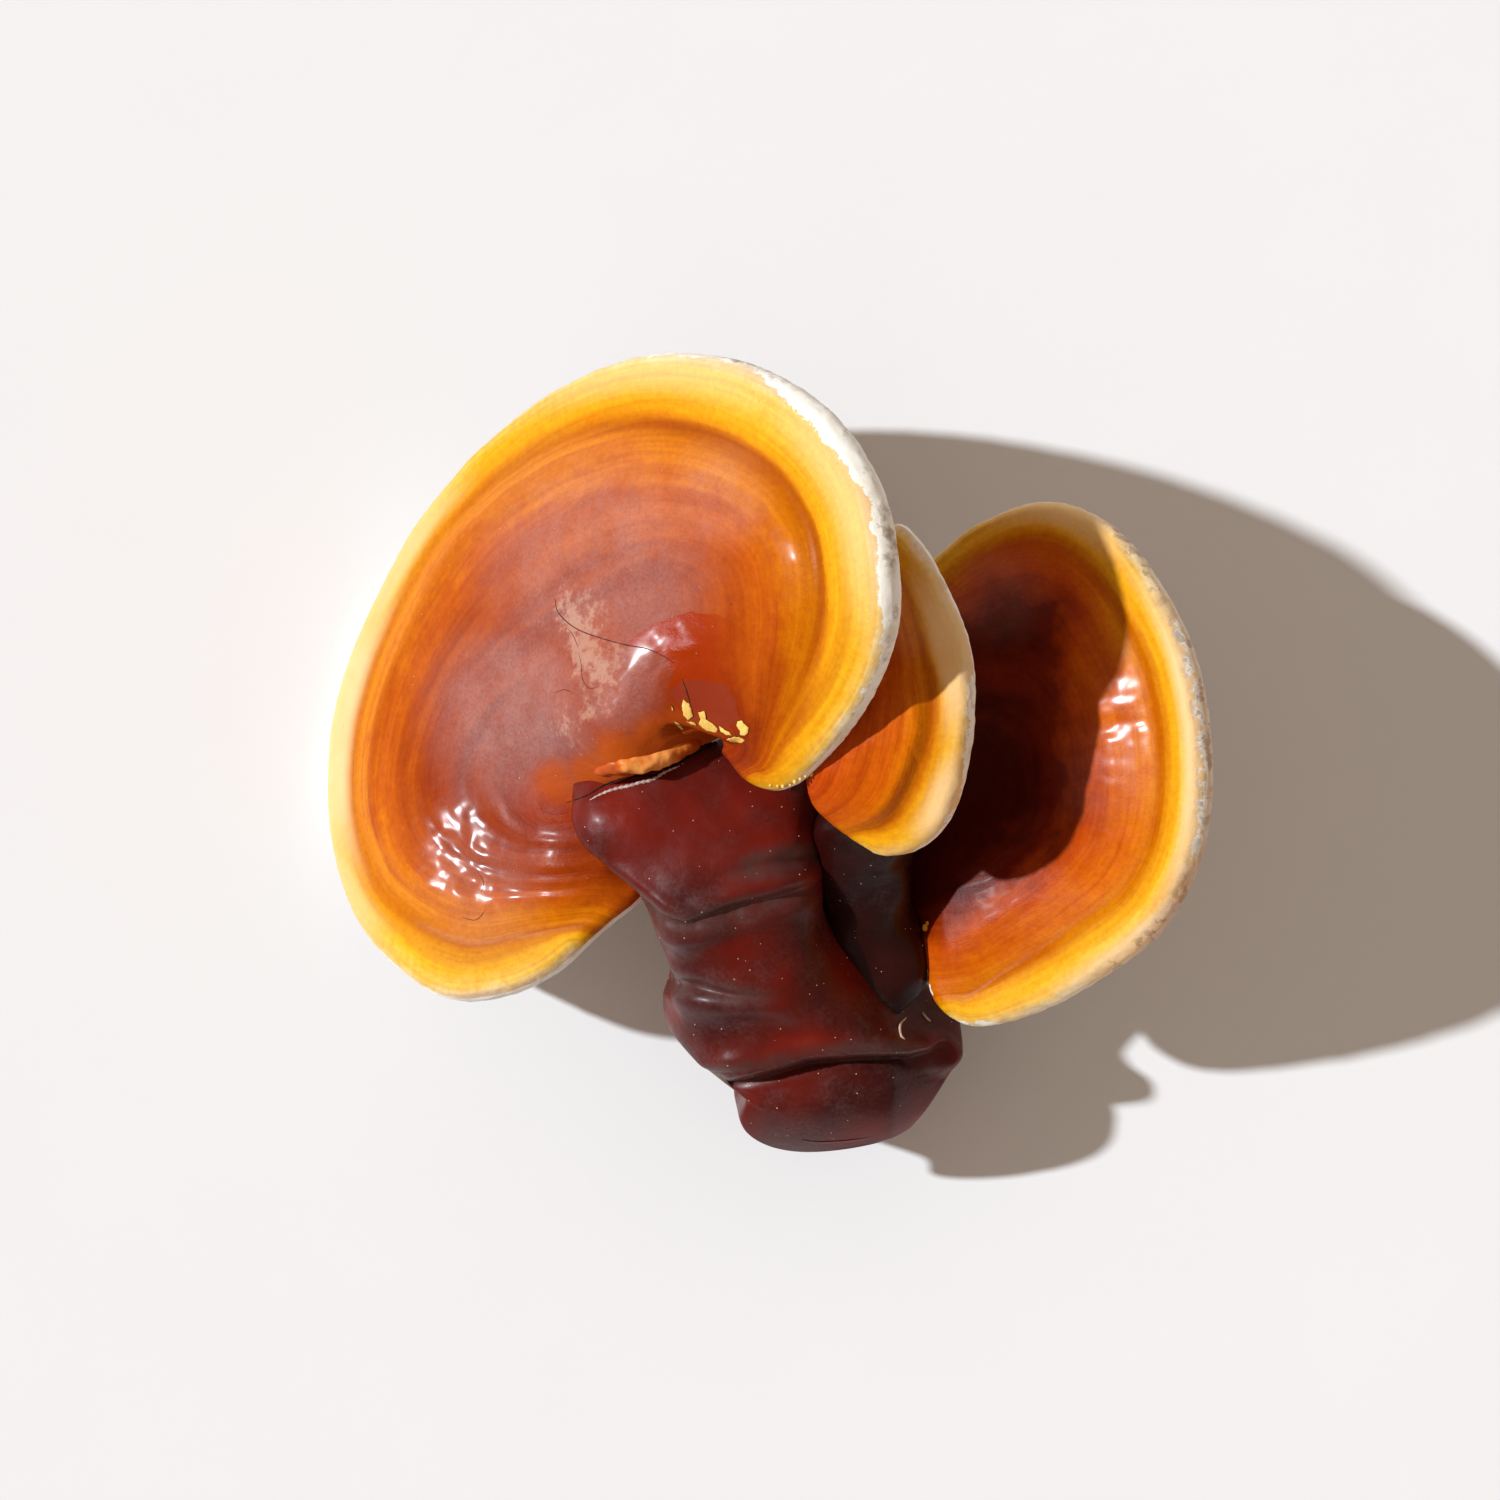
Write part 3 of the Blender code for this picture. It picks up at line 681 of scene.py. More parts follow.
def folded(flat, normal, folds):
    """How far the folds lift each point of a stem, and how deep in a crease it is."""
    lift, crease = np.zeros(len(flat)), np.zeros(len(flat))
    for depth, width, line in folds:
        line = smooth_curve(line, 60, False)
        far = np.linalg.norm(flat[:, None, :2] - line[None, :, :2], axis=2)
        away, upper = far.min(axis=1), smooth_step(normal[:, 2] / 0.3) * line[far.argmin(axis=1), 2]
        lift += upper * depth * (0.45 * bell(away - 2.6 * width, 1.3 * width) - bell(away, width))
        crease = np.maximum(crease, upper * bell(away, 2.4 * width))
    return lift, crease


def swell_foot(bulk, lift, turn, heights):
    """Raises the bulge over the cut foot, below the lowest fold."""
    x, y = bulk[:, 0] - FOOT_TOP[0], bulk[:, 1] - FOOT_TOP[1]
    shoulder, steepness = FOOT_SHOULDER
    bulge = FOOT_TOP[2] - FOOT_CURVE[1] * y**2 - FOOT_CURVE[0] * x**2
    bulge += lift - steepness * np.maximum(x - shoulder, 0.0)
    bulge = np.maximum(bulge, np.repeat(heights, len(turn)) + 1.0)
    fold = np.interp(bulk[:, 0], *np.array(FOOT_FOLD).T)
    upper = smooth_step(np.tile(np.sin(turn), len(heights)) / 0.45)
    upper *= smooth_step((fold - bulk[:, 1]) / 1.3) * smooth_step((24.0 - x) / 6.0)
    bulk[:, 2] += (bulge - bulk[:, 2]) * upper


def smooth_sides(bulk, normal, shape):
    """Evens out the cut sides of the foot."""
    beside = smooth_step((0.35 - normal[:, 2]) / 0.4) * smooth_step((FOOT_START - bulk[:, 1]) / 4.0)
    for _ in range(FOOT_SMOOTHING):
        grid = bulk.reshape(shape)
        even = (np.roll(grid, 1, axis=1) + np.roll(grid, -1, axis=1)) / 4.0
        even[1:-1] += (grid[:-2] + grid[2:]) / 4.0
        even[[0, -1]] += grid[[0, -1]] / 2.0
        bulk = bulk + (even.reshape(-1, 3) - bulk) * beside[:, None]
    return bulk


def grow_stem(name, stations, lean, count, around, folds=(), footed=False):
    """A stem lofted through its stations, with lumps, folds and a slight wander in its sections."""
    turn = full_turn(around)
    square = np.abs(np.cos(turn)) ** STEM_SQUARENESS + np.abs(np.sin(turn)) ** STEM_SQUARENESS
    above = np.array([0.0, -math.sin(math.radians(lean)), math.cos(math.radians(lean))])
    path = smooth_curve(stations, count, False)
    rings = []
    for k, (x, y, z, width, depth, angle) in enumerate(path):
        slow = k * 32.0 / count
        across = np.array([math.cos(math.radians(angle)), math.sin(math.radians(angle)), 0.0])
        wander = 1.0 + 0.03 * np.sin(3 * turn + 0.9 * slow) + 0.02 * np.sin(5 * turn - 0.7 * slow)
        out = wander * square ** (-1 / STEM_SQUARENESS)
        side = np.outer(np.cos(turn) * out * width, across)
        rise = np.outer(np.sin(turn) * out * depth, above)
        rings.append(np.array([x, y, z]) + side + rise)
    rings = np.array(rings)
    flat = rings.reshape(-1, 3)
    round_way = np.roll(rings, -1, axis=1) - np.roll(rings, 1, axis=1)
    normal = unit(np.cross(np.gradient(rings, axis=0), round_way).reshape(-1, 3))
    fold_lift, crease = folded(flat, normal, folds)
    lift = uneven(flat, STEM_LUMPS) + fold_lift - STEM_SHRUNK
    bulk = flat + normal * lift[:, None]
    if footed:
        swell_foot(bulk, lift, turn, path[:, 2])
        bulk = smooth_sides(bulk, normal, rings.shape)
    marks = {"crease": np.concatenate([[0.0], crease, [0.0]])}
    return closed_skin(name, list(bulk.reshape(rings.shape)), path[0, :3], path[-1, :3], marks)


# ---------------------------------------------------------------- finishes


class Finish:
    """A material whose pattern is built up from named steps."""

    def __init__(self, name, roughness=0.4, shine=0.2, coat=0.0, coat_roughness=0.15):
        self.material = bpy.data.materials.new(name)
        self.material.use_nodes = True
        self.tree = self.material.node_tree
        self.surface = self.tree.nodes["Principled BSDF"]
        settings = {
            "Roughness": roughness, "Specular IOR Level": shine,
            "Coat Weight": coat, "Coat Roughness": coat_roughness,
        }
        for socket, value in settings.items():
            self.surface.inputs[socket].default_value = value
        self.place = self.add("ShaderNodeTexCoord").outputs["Object"]

    def add(self, kind, **settings):
        node = self.tree.nodes.new(kind)
        for key, value in settings.items():
            setattr(node, key, value)
        return node

    def feed(self, socket, value):
        if isinstance(value, bpy.types.NodeSocket):
            self.tree.links.new(value, socket)
        elif isinstance(value, tuple):
            socket.default_value = (*value, 1.0)
        else:
            socket.default_value = value

    def mark(self, name, kind="Fac"):
        return self.add("ShaderNodeAttribute", attribute_name=name).outputs[kind]

    def work(self, how, a, b, clamp=False):
        node = self.add("ShaderNodeMath", operation=how, use_clamp=clamp)
        self.feed(node.inputs[0], a)
        self.feed(node.inputs[1], b)
        return node.outputs[0]

    def plus(self, a, b, clamp=False):
        return self.work("ADD", a, b, clamp)

    def less(self, a, b, clamp=False):
        return self.work("SUBTRACT", a, b, clamp)

    def times(self, a, b):
        return self.work("MULTIPLY", a, b)

    def scaled(self, vector, amounts):
        node = self.add("ShaderNodeVectorMath", operation="MULTIPLY")
        self.feed(node.inputs[0], vector)
        node.inputs[1].default_value = amounts
        return node.outputs[0]

    def noise(self, scale, detail, at=None, rough=0.55):
        node = self.add("ShaderNodeTexNoise")
        self.feed(node.inputs["Vector"], at or self.place)
        for socket, value in (("Scale", scale), ("Detail", detail), ("Roughness", rough)):
            node.inputs[socket].default_value = value
        return node.outputs["Fac"]

    def cells(self, scale):
        node = self.add("ShaderNodeTexVoronoi")
        self.feed(node.inputs["Vector"], self.place)
        node.inputs["Scale"].default_value = scale
        return node.outputs

    def spread(self, value, low, high, to_low=0.0, to_high=1.0):
        node = self.add("ShaderNodeMapRange", interpolation_type="SMOOTHSTEP")
        for socket, given in zip(node.inputs, (value, low, high, to_low, to_high)):
            self.feed(socket, given)
        return node.outputs[0]

    def ramp(self, value, stops):
        node = self.add("ShaderNodeValToRGB")
        self.feed(node.inputs[0], value)
        steps = node.color_ramp.elements
        while len(steps) < len(stops):
            steps.new(0.5)
        for step, (at, colour) in zip(steps, stops):
            step.position = at
            step.color = (*colour, 1.0)
        return node.outputs[0]

    def blend(self, share, a, b, how="MIX"):
        node = self.add("ShaderNodeMix", data_type="RGBA", blend_type=how)
        self.feed(node.inputs[0], share)
        self.feed(node.inputs[6], a)
        self.feed(node.inputs[7], b)
        return node.outputs[2]

    def stain(self, base, colour, share, strength):
        """The base with a colour over it where the share is high."""
        return self.blend(self.times(share, strength), base, colour)

    def done(self, colour, height, relief, roughness=None):
        """Gives the surface its colour, its fine relief in millimetres and a roughness that varies."""
        self.feed(self.surface.inputs["Base Color"], colour)
        if roughness is not None:
            self.feed(self.surface.inputs["Roughness"], roughness)
        bump = self.add("ShaderNodeBump")
        bump.inputs["Distance"].default_value = relief * MM
        self.feed(bump.inputs["Height"], height)
        self.feed(self.surface.inputs["Normal"], bump.outputs[0])
        return self.material


CREAM = (0.93, 0.84, 0.66)
PALE = (0.90, 0.60, 0.30)
FLESH = ((0.30, (0.80, 0.68, 0.50)), (0.46, (0.93, 0.88, 0.77)), (0.66, (0.96, 0.93, 0.86)))
# Partly dust, partly painted sheen.
DUST_AND_SHEEN = (0.86, 0.80, 0.78)
WHITE = (1.0, 1.0, 1.0)
GROOVE_SHADE = (0.60, 0.42, 0.30)
CLEAN_ORANGE = (0.50, 0.085, 0.006)
CLEAN_RED = (0.33, 0.026, 0.001)
DULL_RED = (0.22, 0.036, 0.020)
WORN_TAN = (0.46, 0.20, 0.09)
TORN_BROWN = (0.38, 0.22, 0.12)
PINHOLE = (0.06, 0.015, 0.005)
TORN_FLESH = (0.36, 0.25, 0.16)
SCARRED_FLESH = (0.33, 0.22, 0.14)
INNER_PORES = (0.42, 0.27, 0.15)
PORE_SHADE = (0.38, 0.27, 0.16)
# Painted shade: the near-black that the side stem is drawn towards.
PAINTED_SHADE_BLACK = (0.006, 0.001, 0.001)
# Partly a dusty bloom, partly painted sheen along the folds.
FOLD_BLOOM_AND_SHEEN = (0.085, 0.034, 0.030)
# The colours from the rim inwards, by tint.
MARGIN_COLOURS = (
    (0.00, CREAM), (0.04, (0.92, 0.73, 0.36)), (0.09, (0.90, 0.57, 0.09)),
    (0.19, (0.84, 0.43, 0.010)), (0.31, (0.81, 0.34, 0.003)), (0.39, (0.74, 0.24, 0.002)),
)
LARGE_CAP_COLOURS = MARGIN_COLOURS + (
    (0.46, (0.72, 0.220, 0.001)), (0.54, (0.54, 0.105, 0.0015)), (0.68, (0.345, 0.046, 0.002)),
    (0.84, (0.26, 0.030, 0.004)), (1.00, (0.32, 0.034, 0.005)),
)
MIDDLE_CAP_COLOURS = MARGIN_COLOURS + (
    (0.47, (0.70, 0.190, 0.001)), (0.60, (0.62, 0.115, 0.0015)), (1.00, (0.52, 0.064, 0.003)),
)
# The right cap's darkest steps, towards its root, are partly its own dark red and partly painted shade: its
# bowl lies in the shadow of the large and middle caps.
RIGHT_CAP_COLOURS_AND_SHADE = MARGIN_COLOURS + (
    (0.46, (0.64, 0.140, 0.001)), (0.56, (0.48, 0.064, 0.001)), (0.64, (0.18, 0.015, 0.001)),
    (0.74, (0.07, 0.005, 0.001)), (1.00, (0.04, 0.003, 0.001)),
)
# The node that each cap replaces, its shape and its colours.
CAPS = (
    ("large_cap", LARGE_CAP, LARGE_CAP_COLOURS),
    ("middle_cap", MIDDLE_CAP, MIDDLE_CAP_COLOURS),
    ("right_cap", RIGHT_CAP, RIGHT_CAP_COLOURS_AND_SHADE),
)
# The stems' colours from their dark hollows to their redder bulges.
STEM_COLOURS = (
    (0.34, (0.050, 0.003, 0.002)), (0.48, (0.088, 0.005, 0.002)), (0.60, (0.128, 0.006, 0.002)),
    (0.76, (0.18, 0.009, 0.002)),
)


def cap_lacquer(name, colours, humped):
    """Varnish-like skin: cream rim, yellow margin, dark groove, then orange and red, under a dusty film that
    is partly painted sheen; the darkest steps of the right cap's colours are painted shade.
    """
    look = Finish(name, shine=0.06, coat_roughness=0.18)
    grain = look.mark("grain", "Vector")
    drift = look.noise(1.0, 3.0, at=look.scaled(grain, (0.16, 0.30, 0.30)))
    patchy = look.noise(260.0, 4.0)
    tint = look.plus(look.mark("tint"), look.spread(drift, 0.2, 0.8, -0.04, 0.04))
    tint = look.plus(tint, look.spread(patchy, 0.25, 0.75, -0.018, 0.018), clamp=True)
    base = look.ramp(tint, colours)
    base = look.blend(look.mark("groove"), base, look.blend(1.0, base, GROOVE_SHADE, "MULTIPLY"))
    streaks = look.noise(1.0, 4.0, at=look.scaled(grain, (1.5, 0.35, 0.35)), rough=0.6)
    bands = look.noise(1.0, 2.0, at=look.scaled(grain, (0.34, 0.07, 0.07)))
    mottle = look.noise(900.0, 5.0, rough=0.7)
    for pattern, strength, low, high, shade in (
        (streaks, 0.6, 0.30, 0.60, (0.80, 0.66, 0.60)),
        (bands, 0.8, 0.38, 0.56, (0.78, 0.62, 0.62)),
        (mottle, 0.6, 0.36, 0.60, (0.80, 0.68, 0.62)),
    ):
        base = look.blend(strength, base, look.ramp(pattern, ((low, shade), (high, WHITE))), "MULTIPLY")
    pale = look.times(look.mark("pale"), look.spread(patchy, 0.25, 0.6, 0.8, 1.0))
    base = look.stain(base, PALE, pale, 0.9)

    film = look.noise(150.0, 6.0, rough=0.72)
    fine = look.noise(1900.0, 3.0, rough=0.7)
    warm = look.mark("warm")
    dusty = look.times(look.spread(film, 0.25, 0.7, 0.5, 1.0), look.spread(fine, 0.2, 0.7, 0.5, 1.0))
    dusty = look.times(look.times(dusty, look.mark("haze")), look.less(1.0, warm, clamp=True))
    base = look.stain(base, CLEAN_ORANGE, warm, 0.75)
    roughness = look.spread(film, 0.3, 0.75, 0.27, 0.40)
    roughness = look.plus(roughness, look.spread(look.mark("tint"), 0.30, 0.42, 0.14, 0.0))
    look.feed(look.surface.inputs["Coat Weight"], look.times(look.mark("gloss"), 0.55))
    if humped:
        base, dusty, roughness = hump_patches(look, base, dusty, roughness, film)
    # Pale dusty film: partly dust, partly painted sheen.
    base = look.stain(base, DUST_AND_SHEEN, dusty, 0.17)
    roughness = look.plus(roughness, look.times(dusty, 0.10))

    chips = look.noise(420.0, 5.0, rough=0.65)
    bare = look.plus(look.mark("wall"), look.spread(chips, 0.25, 0.75, -0.7, 0.7))
    bare = look.spread(bare, -0.12, 0.12)
    base = look.blend(bare, base, look.ramp(look.noise(140.0, 5.0, rough=0.65), FLESH))
    roughness = look.plus(roughness, look.times(bare, 0.25))
    scar = look.times(look.mark("scar"), look.spread(chips, 0.53, 0.58))
    base = look.stain(base, TORN_BROWN, scar, 0.75)
    pins = look.cells(260.0)
    rare = look.work("GREATER_THAN", pins["Color"], 0.90)
    dots = look.times(look.spread(pins["Distance"], 0.04, 0.09, 1.0, 0.0), rare)
    base = look.stain(base, PINHOLE, dots, 0.8)
    height = look.plus(look.times(streaks, 0.5), look.noise(1500.0, 5.0, rough=0.65))
    return look.done(base, height, 0.07, roughness)


def hump_patches(look, base, dusty, roughness, film):
    """The hump over the stem: a worn tan patch, a clean red one, a dull one in it, and orange by the bead."""
    ragged = look.noise(900.0, 3.0)
    torn = look.spread(ragged, 0.3, 0.7, -0.18, 0.18)
    clean = look.spread(look.plus(look.mark("glossy"), torn), -0.1, 0.1)
    clean = look.times(clean, look.spread(look.mark("fading"), 0.0, 1.0, 1.0, 0.15))
    dull = look.spread(look.plus(look.mark("dull"), torn), -0.1, 0.1)
    worn = look.plus(look.spread(ragged, 0.2, 0.8, -2.5, 2.5), look.spread(film, 0.3, 0.7, -4.0, 4.0))
    tan = look.spread(look.plus(look.mark("dusty"), worn), -0.5, 4.5)
    for colour, share, strength in (
        (WORN_TAN, tan, 0.5), (CLEAN_RED, clean, 0.85), (DULL_RED, dull, 0.5),
        (CLEAN_ORANGE, look.mark("bead"), 0.8),
    ):
        base = look.stain(base, colour, share, strength)
    dusty = look.plus(look.times(dusty, look.less(1.0, clean)), look.times(tan, 0.3))
    return base, dusty, look.less(roughness, look.times(clean, 0.06))


def pore_layer():
    """The cream flesh of the rim's wall and the pores underneath."""
    look = Finish("pore_layer", roughness=0.75, shine=0.3)
    depth = look.mark("depth")
    tears = look.noise(420.0, 5.0, rough=0.65)
    torn = look.times(look.spread(tears, 0.54, 0.74), look.spread(depth, 0.2, 2.4, 1.0, 0.2))
    scar = look.times(look.mark("scar"), look.spread(tears, 0.42, 0.60))
    pores = look.spread(look.cells(2600.0)["Distance"], 0.1, 0.35, 0.5, 1.0)
    pores = look.work("MAXIMUM", pores, look.spread(depth, 1.5, 3.0, 1.0, 0.0))
    base = look.ramp(look.noise(140.0, 5.0, rough=0.65), FLESH)
    base = look.stain(base, TORN_FLESH, torn, 0.6)
    base = look.stain(base, SCARRED_FLESH, scar, 0.75)
    base = look.blend(look.spread(depth, 2.5, 14.0, 0.0, 0.8), base, INNER_PORES)
    base = look.blend(look.less(1.0, pores), base, PORE_SHADE)
    return look.done(base, look.plus(pores, look.noise(700.0, 4.0)), 0.08)


def stem_lacquer(name, glow, shade=0.0):
    """Dark maroon varnish, redder on the bulges, that greys to purple along the folds. The redder and darker
    patches are partly painted light and shade, the purple along the folds is partly painted sheen, and the
    shade share draws the whole towards black as painted shade.
    """
    look = Finish(name, shine=0.15, coat=0.05, coat_roughness=0.2)
    clouds = look.noise(70.0, 2.0, rough=0.45)
    # Redder or darker patches: partly the varnish's own, partly painted light and shade.
    for x, y, z, reach, strength in glow:
        near = look.add("ShaderNodeVectorMath", operation="DISTANCE")
        look.feed(near.inputs[0], look.place)
        near.inputs[1].default_value = [(v - o) * MM for v, o in zip((x, y, z), ORIGIN)]
        warm = look.spread(near.outputs["Value"], 0.2 * reach * MM, reach * MM, strength, 0.0)
        clouds = look.plus(clouds, warm)
    # The shade share draws the colour towards black: painted shade.
    base = look.blend(shade, look.ramp(clouds, STEM_COLOURS), PAINTED_SHADE_BLACK)
    bloom = look.noise(230.0, 5.0, rough=0.65)
    # Purple-grey along the folds: partly a dusty bloom, partly painted sheen on the folds' ridges.
    bloom_and_sheen = look.times(look.spread(look.mark("crease"), 0.05, 0.8), look.spread(bloom, 0.3, 0.6, 0.3, 0.8))
    base = look.blend(bloom_and_sheen, base, FOLD_BLOOM_AND_SHEEN)
    film = look.noise(1500.0, 4.0, rough=0.7)
    dusty = look.times(look.spread(film, 0.3, 0.75), look.spread(bloom, 0.4, 0.7, 0.25, 1.0))
    dusty = look.times(dusty, look.spread(clouds, 0.42, 0.62, 1.0, 0.1))
    base = look.stain(base, DUST_AND_SHEEN, dusty, 0.04)
    roughness = look.spread(bloom, 0.3, 0.8, 0.33, 0.46)
    return look.done(base, look.plus(look.noise(900.0, 3.0), film), 0.03, roughness)


def speckled(name, colour, darker, scale, roughness=0.6, relief=0.03):
    """A small piece's own colour, mottled with a darker one."""
    look = Finish(name, roughness=roughness)
    base = look.ramp(look.noise(scale, 3.0), ((0.35, darker), (0.65, colour)))
    return look.done(base, look.noise(scale * 2.0, 3.0), relief)


# ---------------------------------------------------------------- small pieces on the surface

# Lines and outlines in the plan.
HAIRS = (
    ((-30, 23.4), (-29.5, 21.2), (-26.8, 18.7), (-22.9, 17.1), (-19, 16), (-15.2, 15.2), (-11.4, 13.2)),
    ((-10.3, 10.8), (-9.7, 9.1), (-9.1, 7.1)),
)
CRACKS = (
    ((-26.3, 15.3), (-25.8, 13.3), (-25.5, 10.7), (-24.4, 9.4), (-22.6, 9.8)),
    ((-30.2, 8.7), (-28.3, 9.2), (-26.7, 8.5)),
    ((-28, 18.8), (-26.9, 17.2), (-26.2, 15.4)),
    ((-42.6, -18.6), (-41.4, -20.6), (-41.9, -22.4)),
    ((-40.9, -24.6), (-42.6, -26.4), (-45, -26)),
)
PALE_EDGE = (
    (-24.5, -7.7), (-23, -6.9), (-20.7, -6), (-18.4, -5.5), (-16.8, -5), (-15, -4.6), (-13, -3.4),
    (-10.7, -2.4),
)
CURLS = (
    ((24.2, -41.7), (23.2, -42.7), (23.3, -44.3), (23.9, -44.9)),
    ((26.8, -41.1), (27.4, -41.9), (28.1, -42.5)),
)
FLAKES = (
    ((-10.1, 7.7), (-9.2, 6.95), (-8.6, 5.1), (-9.4, 4.5), (-10.1, 5.3), (-10.3, 6.6)),
    ((-12, 6.8), (-11.6, 6.1), (-11.8, 6)),
    ((-11.5, 4.4), (-10.7, 3.95), (-10.1, 3.2), (-10.4, 3), (-11.2, 3.8)),
    ((-9.6, 4.4), (-8.4, 4.1), (-8.1, 3.7), (-8.7, 3.8)),
    (
        (-7.9, 5.7), (-6.9, 5.9), (-6.7, 5.4), (-7.4, 5.1), (-6.6, 4.5), (-5.6, 3.9), (-4.9, 3.2),
        (-5.1, 2.6), (-6.2, 2.8), (-7.1, 3.2), (-7.8, 3.9), (-7.5, 4.7),
    ),
    ((-4.7, 3.6), (-4, 3.2), (-3, 2.5), (-2.8, 2.1), (-3.6, 2.3), (-4.5, 2.8)),
    (
        (-1.9, 4.3), (-1.3, 4.5), (-0.9, 3.9), (-0.2, 3.4), (-0.3, 2.6), (-0.8, 2.1), (-1.5, 2.2),
        (-1.5, 2.8), (-2, 3.6),
    ),
    ((-3.6, 1.6), (-2.4, 2), (-1.5, 1.9), (-0.8, 1.5), (-1.3, 1.1), (-2.8, 1.2)),
)
# The crack under the lip, and the wider gap at its right end, where near-black threads lie as painted shadow.
LIP_CRACK = (
    (-28.5, -8.2), (-25.1, -7), (-21.7, -5.1), (-18.3, -4.1), (-14.9, -3.9), (-12.7, -2.9), (-9.6, -1),
    (-6.6, 0.4), (-4.9, 1.3),
)
LIP_GAP_SHADOW = ((-13.2, -2.9), (-11.2, -1.8), (-9.2, -0.6), (-7, 0.5), (-5.2, 1.4))
# Grains and drops: x, y and radius.
CRUMBS = (
    (6.8, -4.7, 0.35), (7.6, -4.3, 0.28), (9.2, -3.6, 0.3), (6.1, -5.2, 0.25), (5, -5.4, 0.3),
    (4.2, -5.4, 0.22), (8.4, -3.9, 0.22), (3.1, -5.3, 0.2),
)
DROPS = ((27.3, -27.6, 0.5), (27.6, -26.9, 0.3))
DUST_SLOPE = 0.25  # how far upwards a face has to look to hold dust
SMALLEST_GRAIN = 0.45  # radius of the smallest grain as a share of the largest


class Surface:
    """The finished outer surface, to set small pieces on."""

    def __init__(self, *skins):
        reach = bpy.context.evaluated_depsgraph_get()
        self.trees = [BVHTree.FromObject(skin, reach) for skin in skins]

    def at(self, x, y):
        """The highest point over a place in the plan, and its normal, in millimetres."""
        start = Vector(((x - ORIGIN[0]) * MM, (y - ORIGIN[1]) * MM, 1.0))
        hits = [tree.ray_cast(start, Vector((0, 0, -1))) for tree in self.trees]
        point, normal = max((hit for hit in hits if hit[0] is not None), key=lambda hit: hit[0].z)[:2]
        return np.array(point) / MM + ORIGIN, np.array(normal)


def tube(centres, up, girth, around):
    """Rings round a line of centres, and the way out from the centre at each of their points."""
    along = np.gradient(centres, axis=0)
    side = unit(np.cross(along, up))
    top = unit(np.cross(side, along))
    turn = full_turn(around)[None, :, None]
    out = np.cos(turn) * side[:, None] + np.sin(turn) * top[:, None]
    return centres[:, None] + out * girth[:, None, None], out


def lay_thread(name, surface, line, radius, material, rise=0.3, ragged=0.0, steps=48):
    """A thin thread that follows the surface along a line in the plan and tapers at both ends."""
    path = smooth_curve([(x, y, 0.0) for x, y in line], steps, False)
    points, normals = (np.array(part) for part in zip(*(surface.at(x, y) for x, y, _ in path)))
    centres = points + normals * radius * rise
    k = np.arange(steps)
    girth = radius * (0.15 + 0.85 * np.sqrt(np.maximum(np.sin(math.pi * k / (steps - 1)), 0.0)))
    girth *= 1.0 + ragged * np.sin(k * 2.3) * np.cos(k * 1.1 + radius * 40.0)
    rings, _ = tube(centres, normals, girth, 8)
    return closed_skin(name, list(rings[::-1]), centres[-1], centres[0], material=material)


def lay_lip(name, surface, material):
    """The lumpy bead of skin along the lip over the stem."""
    path = smooth_curve(LIP_BEAD, LIP_STEPS, False)
    seats = np.array([surface.at(x, y)[0] for x, y, _ in path])
    even = np.full(2 * LIP_EASING + 1, 1.0 / (2 * LIP_EASING + 1))
    heights = np.convolve(np.pad(seats[:, 2], LIP_EASING, mode="edge"), even, mode="valid")
    girth = path[:, 2]
    centres = np.column_stack([path[:, :2], heights - LIP_SINK * girth])
    rings, out = tube(centres, (0.0, 0.0, 1.0), girth, LIP_AROUND)
    lumps = uneven(rings.reshape(-1, 3), LIP_LUMPS).reshape(LIP_STEPS, LIP_AROUND)
    rings = rings + out * (LIP_RELIEF * lumps * girth[:, None])[:, :, None]
    ends = np.abs(np.linspace(-1.0, 1.0, LIP_STEPS)) ** 1.5
    # The tops of the lumps are painted lighter: partly paler tips, partly painted light.
    tip = 0.5 * lumps + 0.8 - 2.4 * ends[:, None]
    marks = {"tip": np.concatenate([[-1.0], tip.ravel(), [-1.0]])}
    return closed_skin(name, list(rings), centres[0], centres[-1], marks, material)


def lip_orange():
    """Clean orange skin, lighter on the tops of its lumps: partly paler tips, partly painted light that makes
    the lumps show.
    """
    look = Finish("lip_orange", roughness=0.38, coat=0.05, coat_roughness=0.25)
    tip = look.plus(look.mark("tip"), look.spread(look.noise(600.0, 4.0), 0.3, 0.7, -0.3, 0.3))
    base = look.ramp(look.spread(tip, -0.9, 0.9), (
        (0.10, (0.46, 0.070, 0.005)), (0.45, (0.62, 0.13, 0.010)), (0.95, (0.84, 0.31, 0.07)),
    ))
    return look.done(base, look.noise(1500.0, 4.0), 0.03)


def lay_flake(name, surface, outline, thickness, material):
    """A chip of dried skin that lies on the surface inside an outline in the plan."""
    corners = np.array(outline + outline[:1], float)
    run = np.concatenate([[0.0], np.cumsum(np.linalg.norm(np.diff(corners, axis=0), axis=1))])
    at = np.linspace(0.0, run[-1], 48, endpoint=False)
    edge = np.column_stack([np.interp(at, run, corners[:, 0]), np.interp(at, run, corners[:, 1])])
    centre = edge.mean(axis=0)
    edge = edge + 0.09 * np.column_stack([lumpiness(edge, 0.3, 21), lumpiness(edge, 0.3, 22)])
    rings = []
    for share, height in ((0.4, -0.3), (1.0, -0.3), (1.0, 0.7), (0.93, 1.0), (0.5, 1.0)):
        plan = centre + share * (edge - centre)
        seats = [surface.at(x, y)[0] for x, y in plan]
        rings.append(np.array(seats) + (0.0, 0.0, height * thickness))
    return closed_skin(name, rings, rings[0].mean(axis=0), rings[-1].mean(axis=0), material=material)


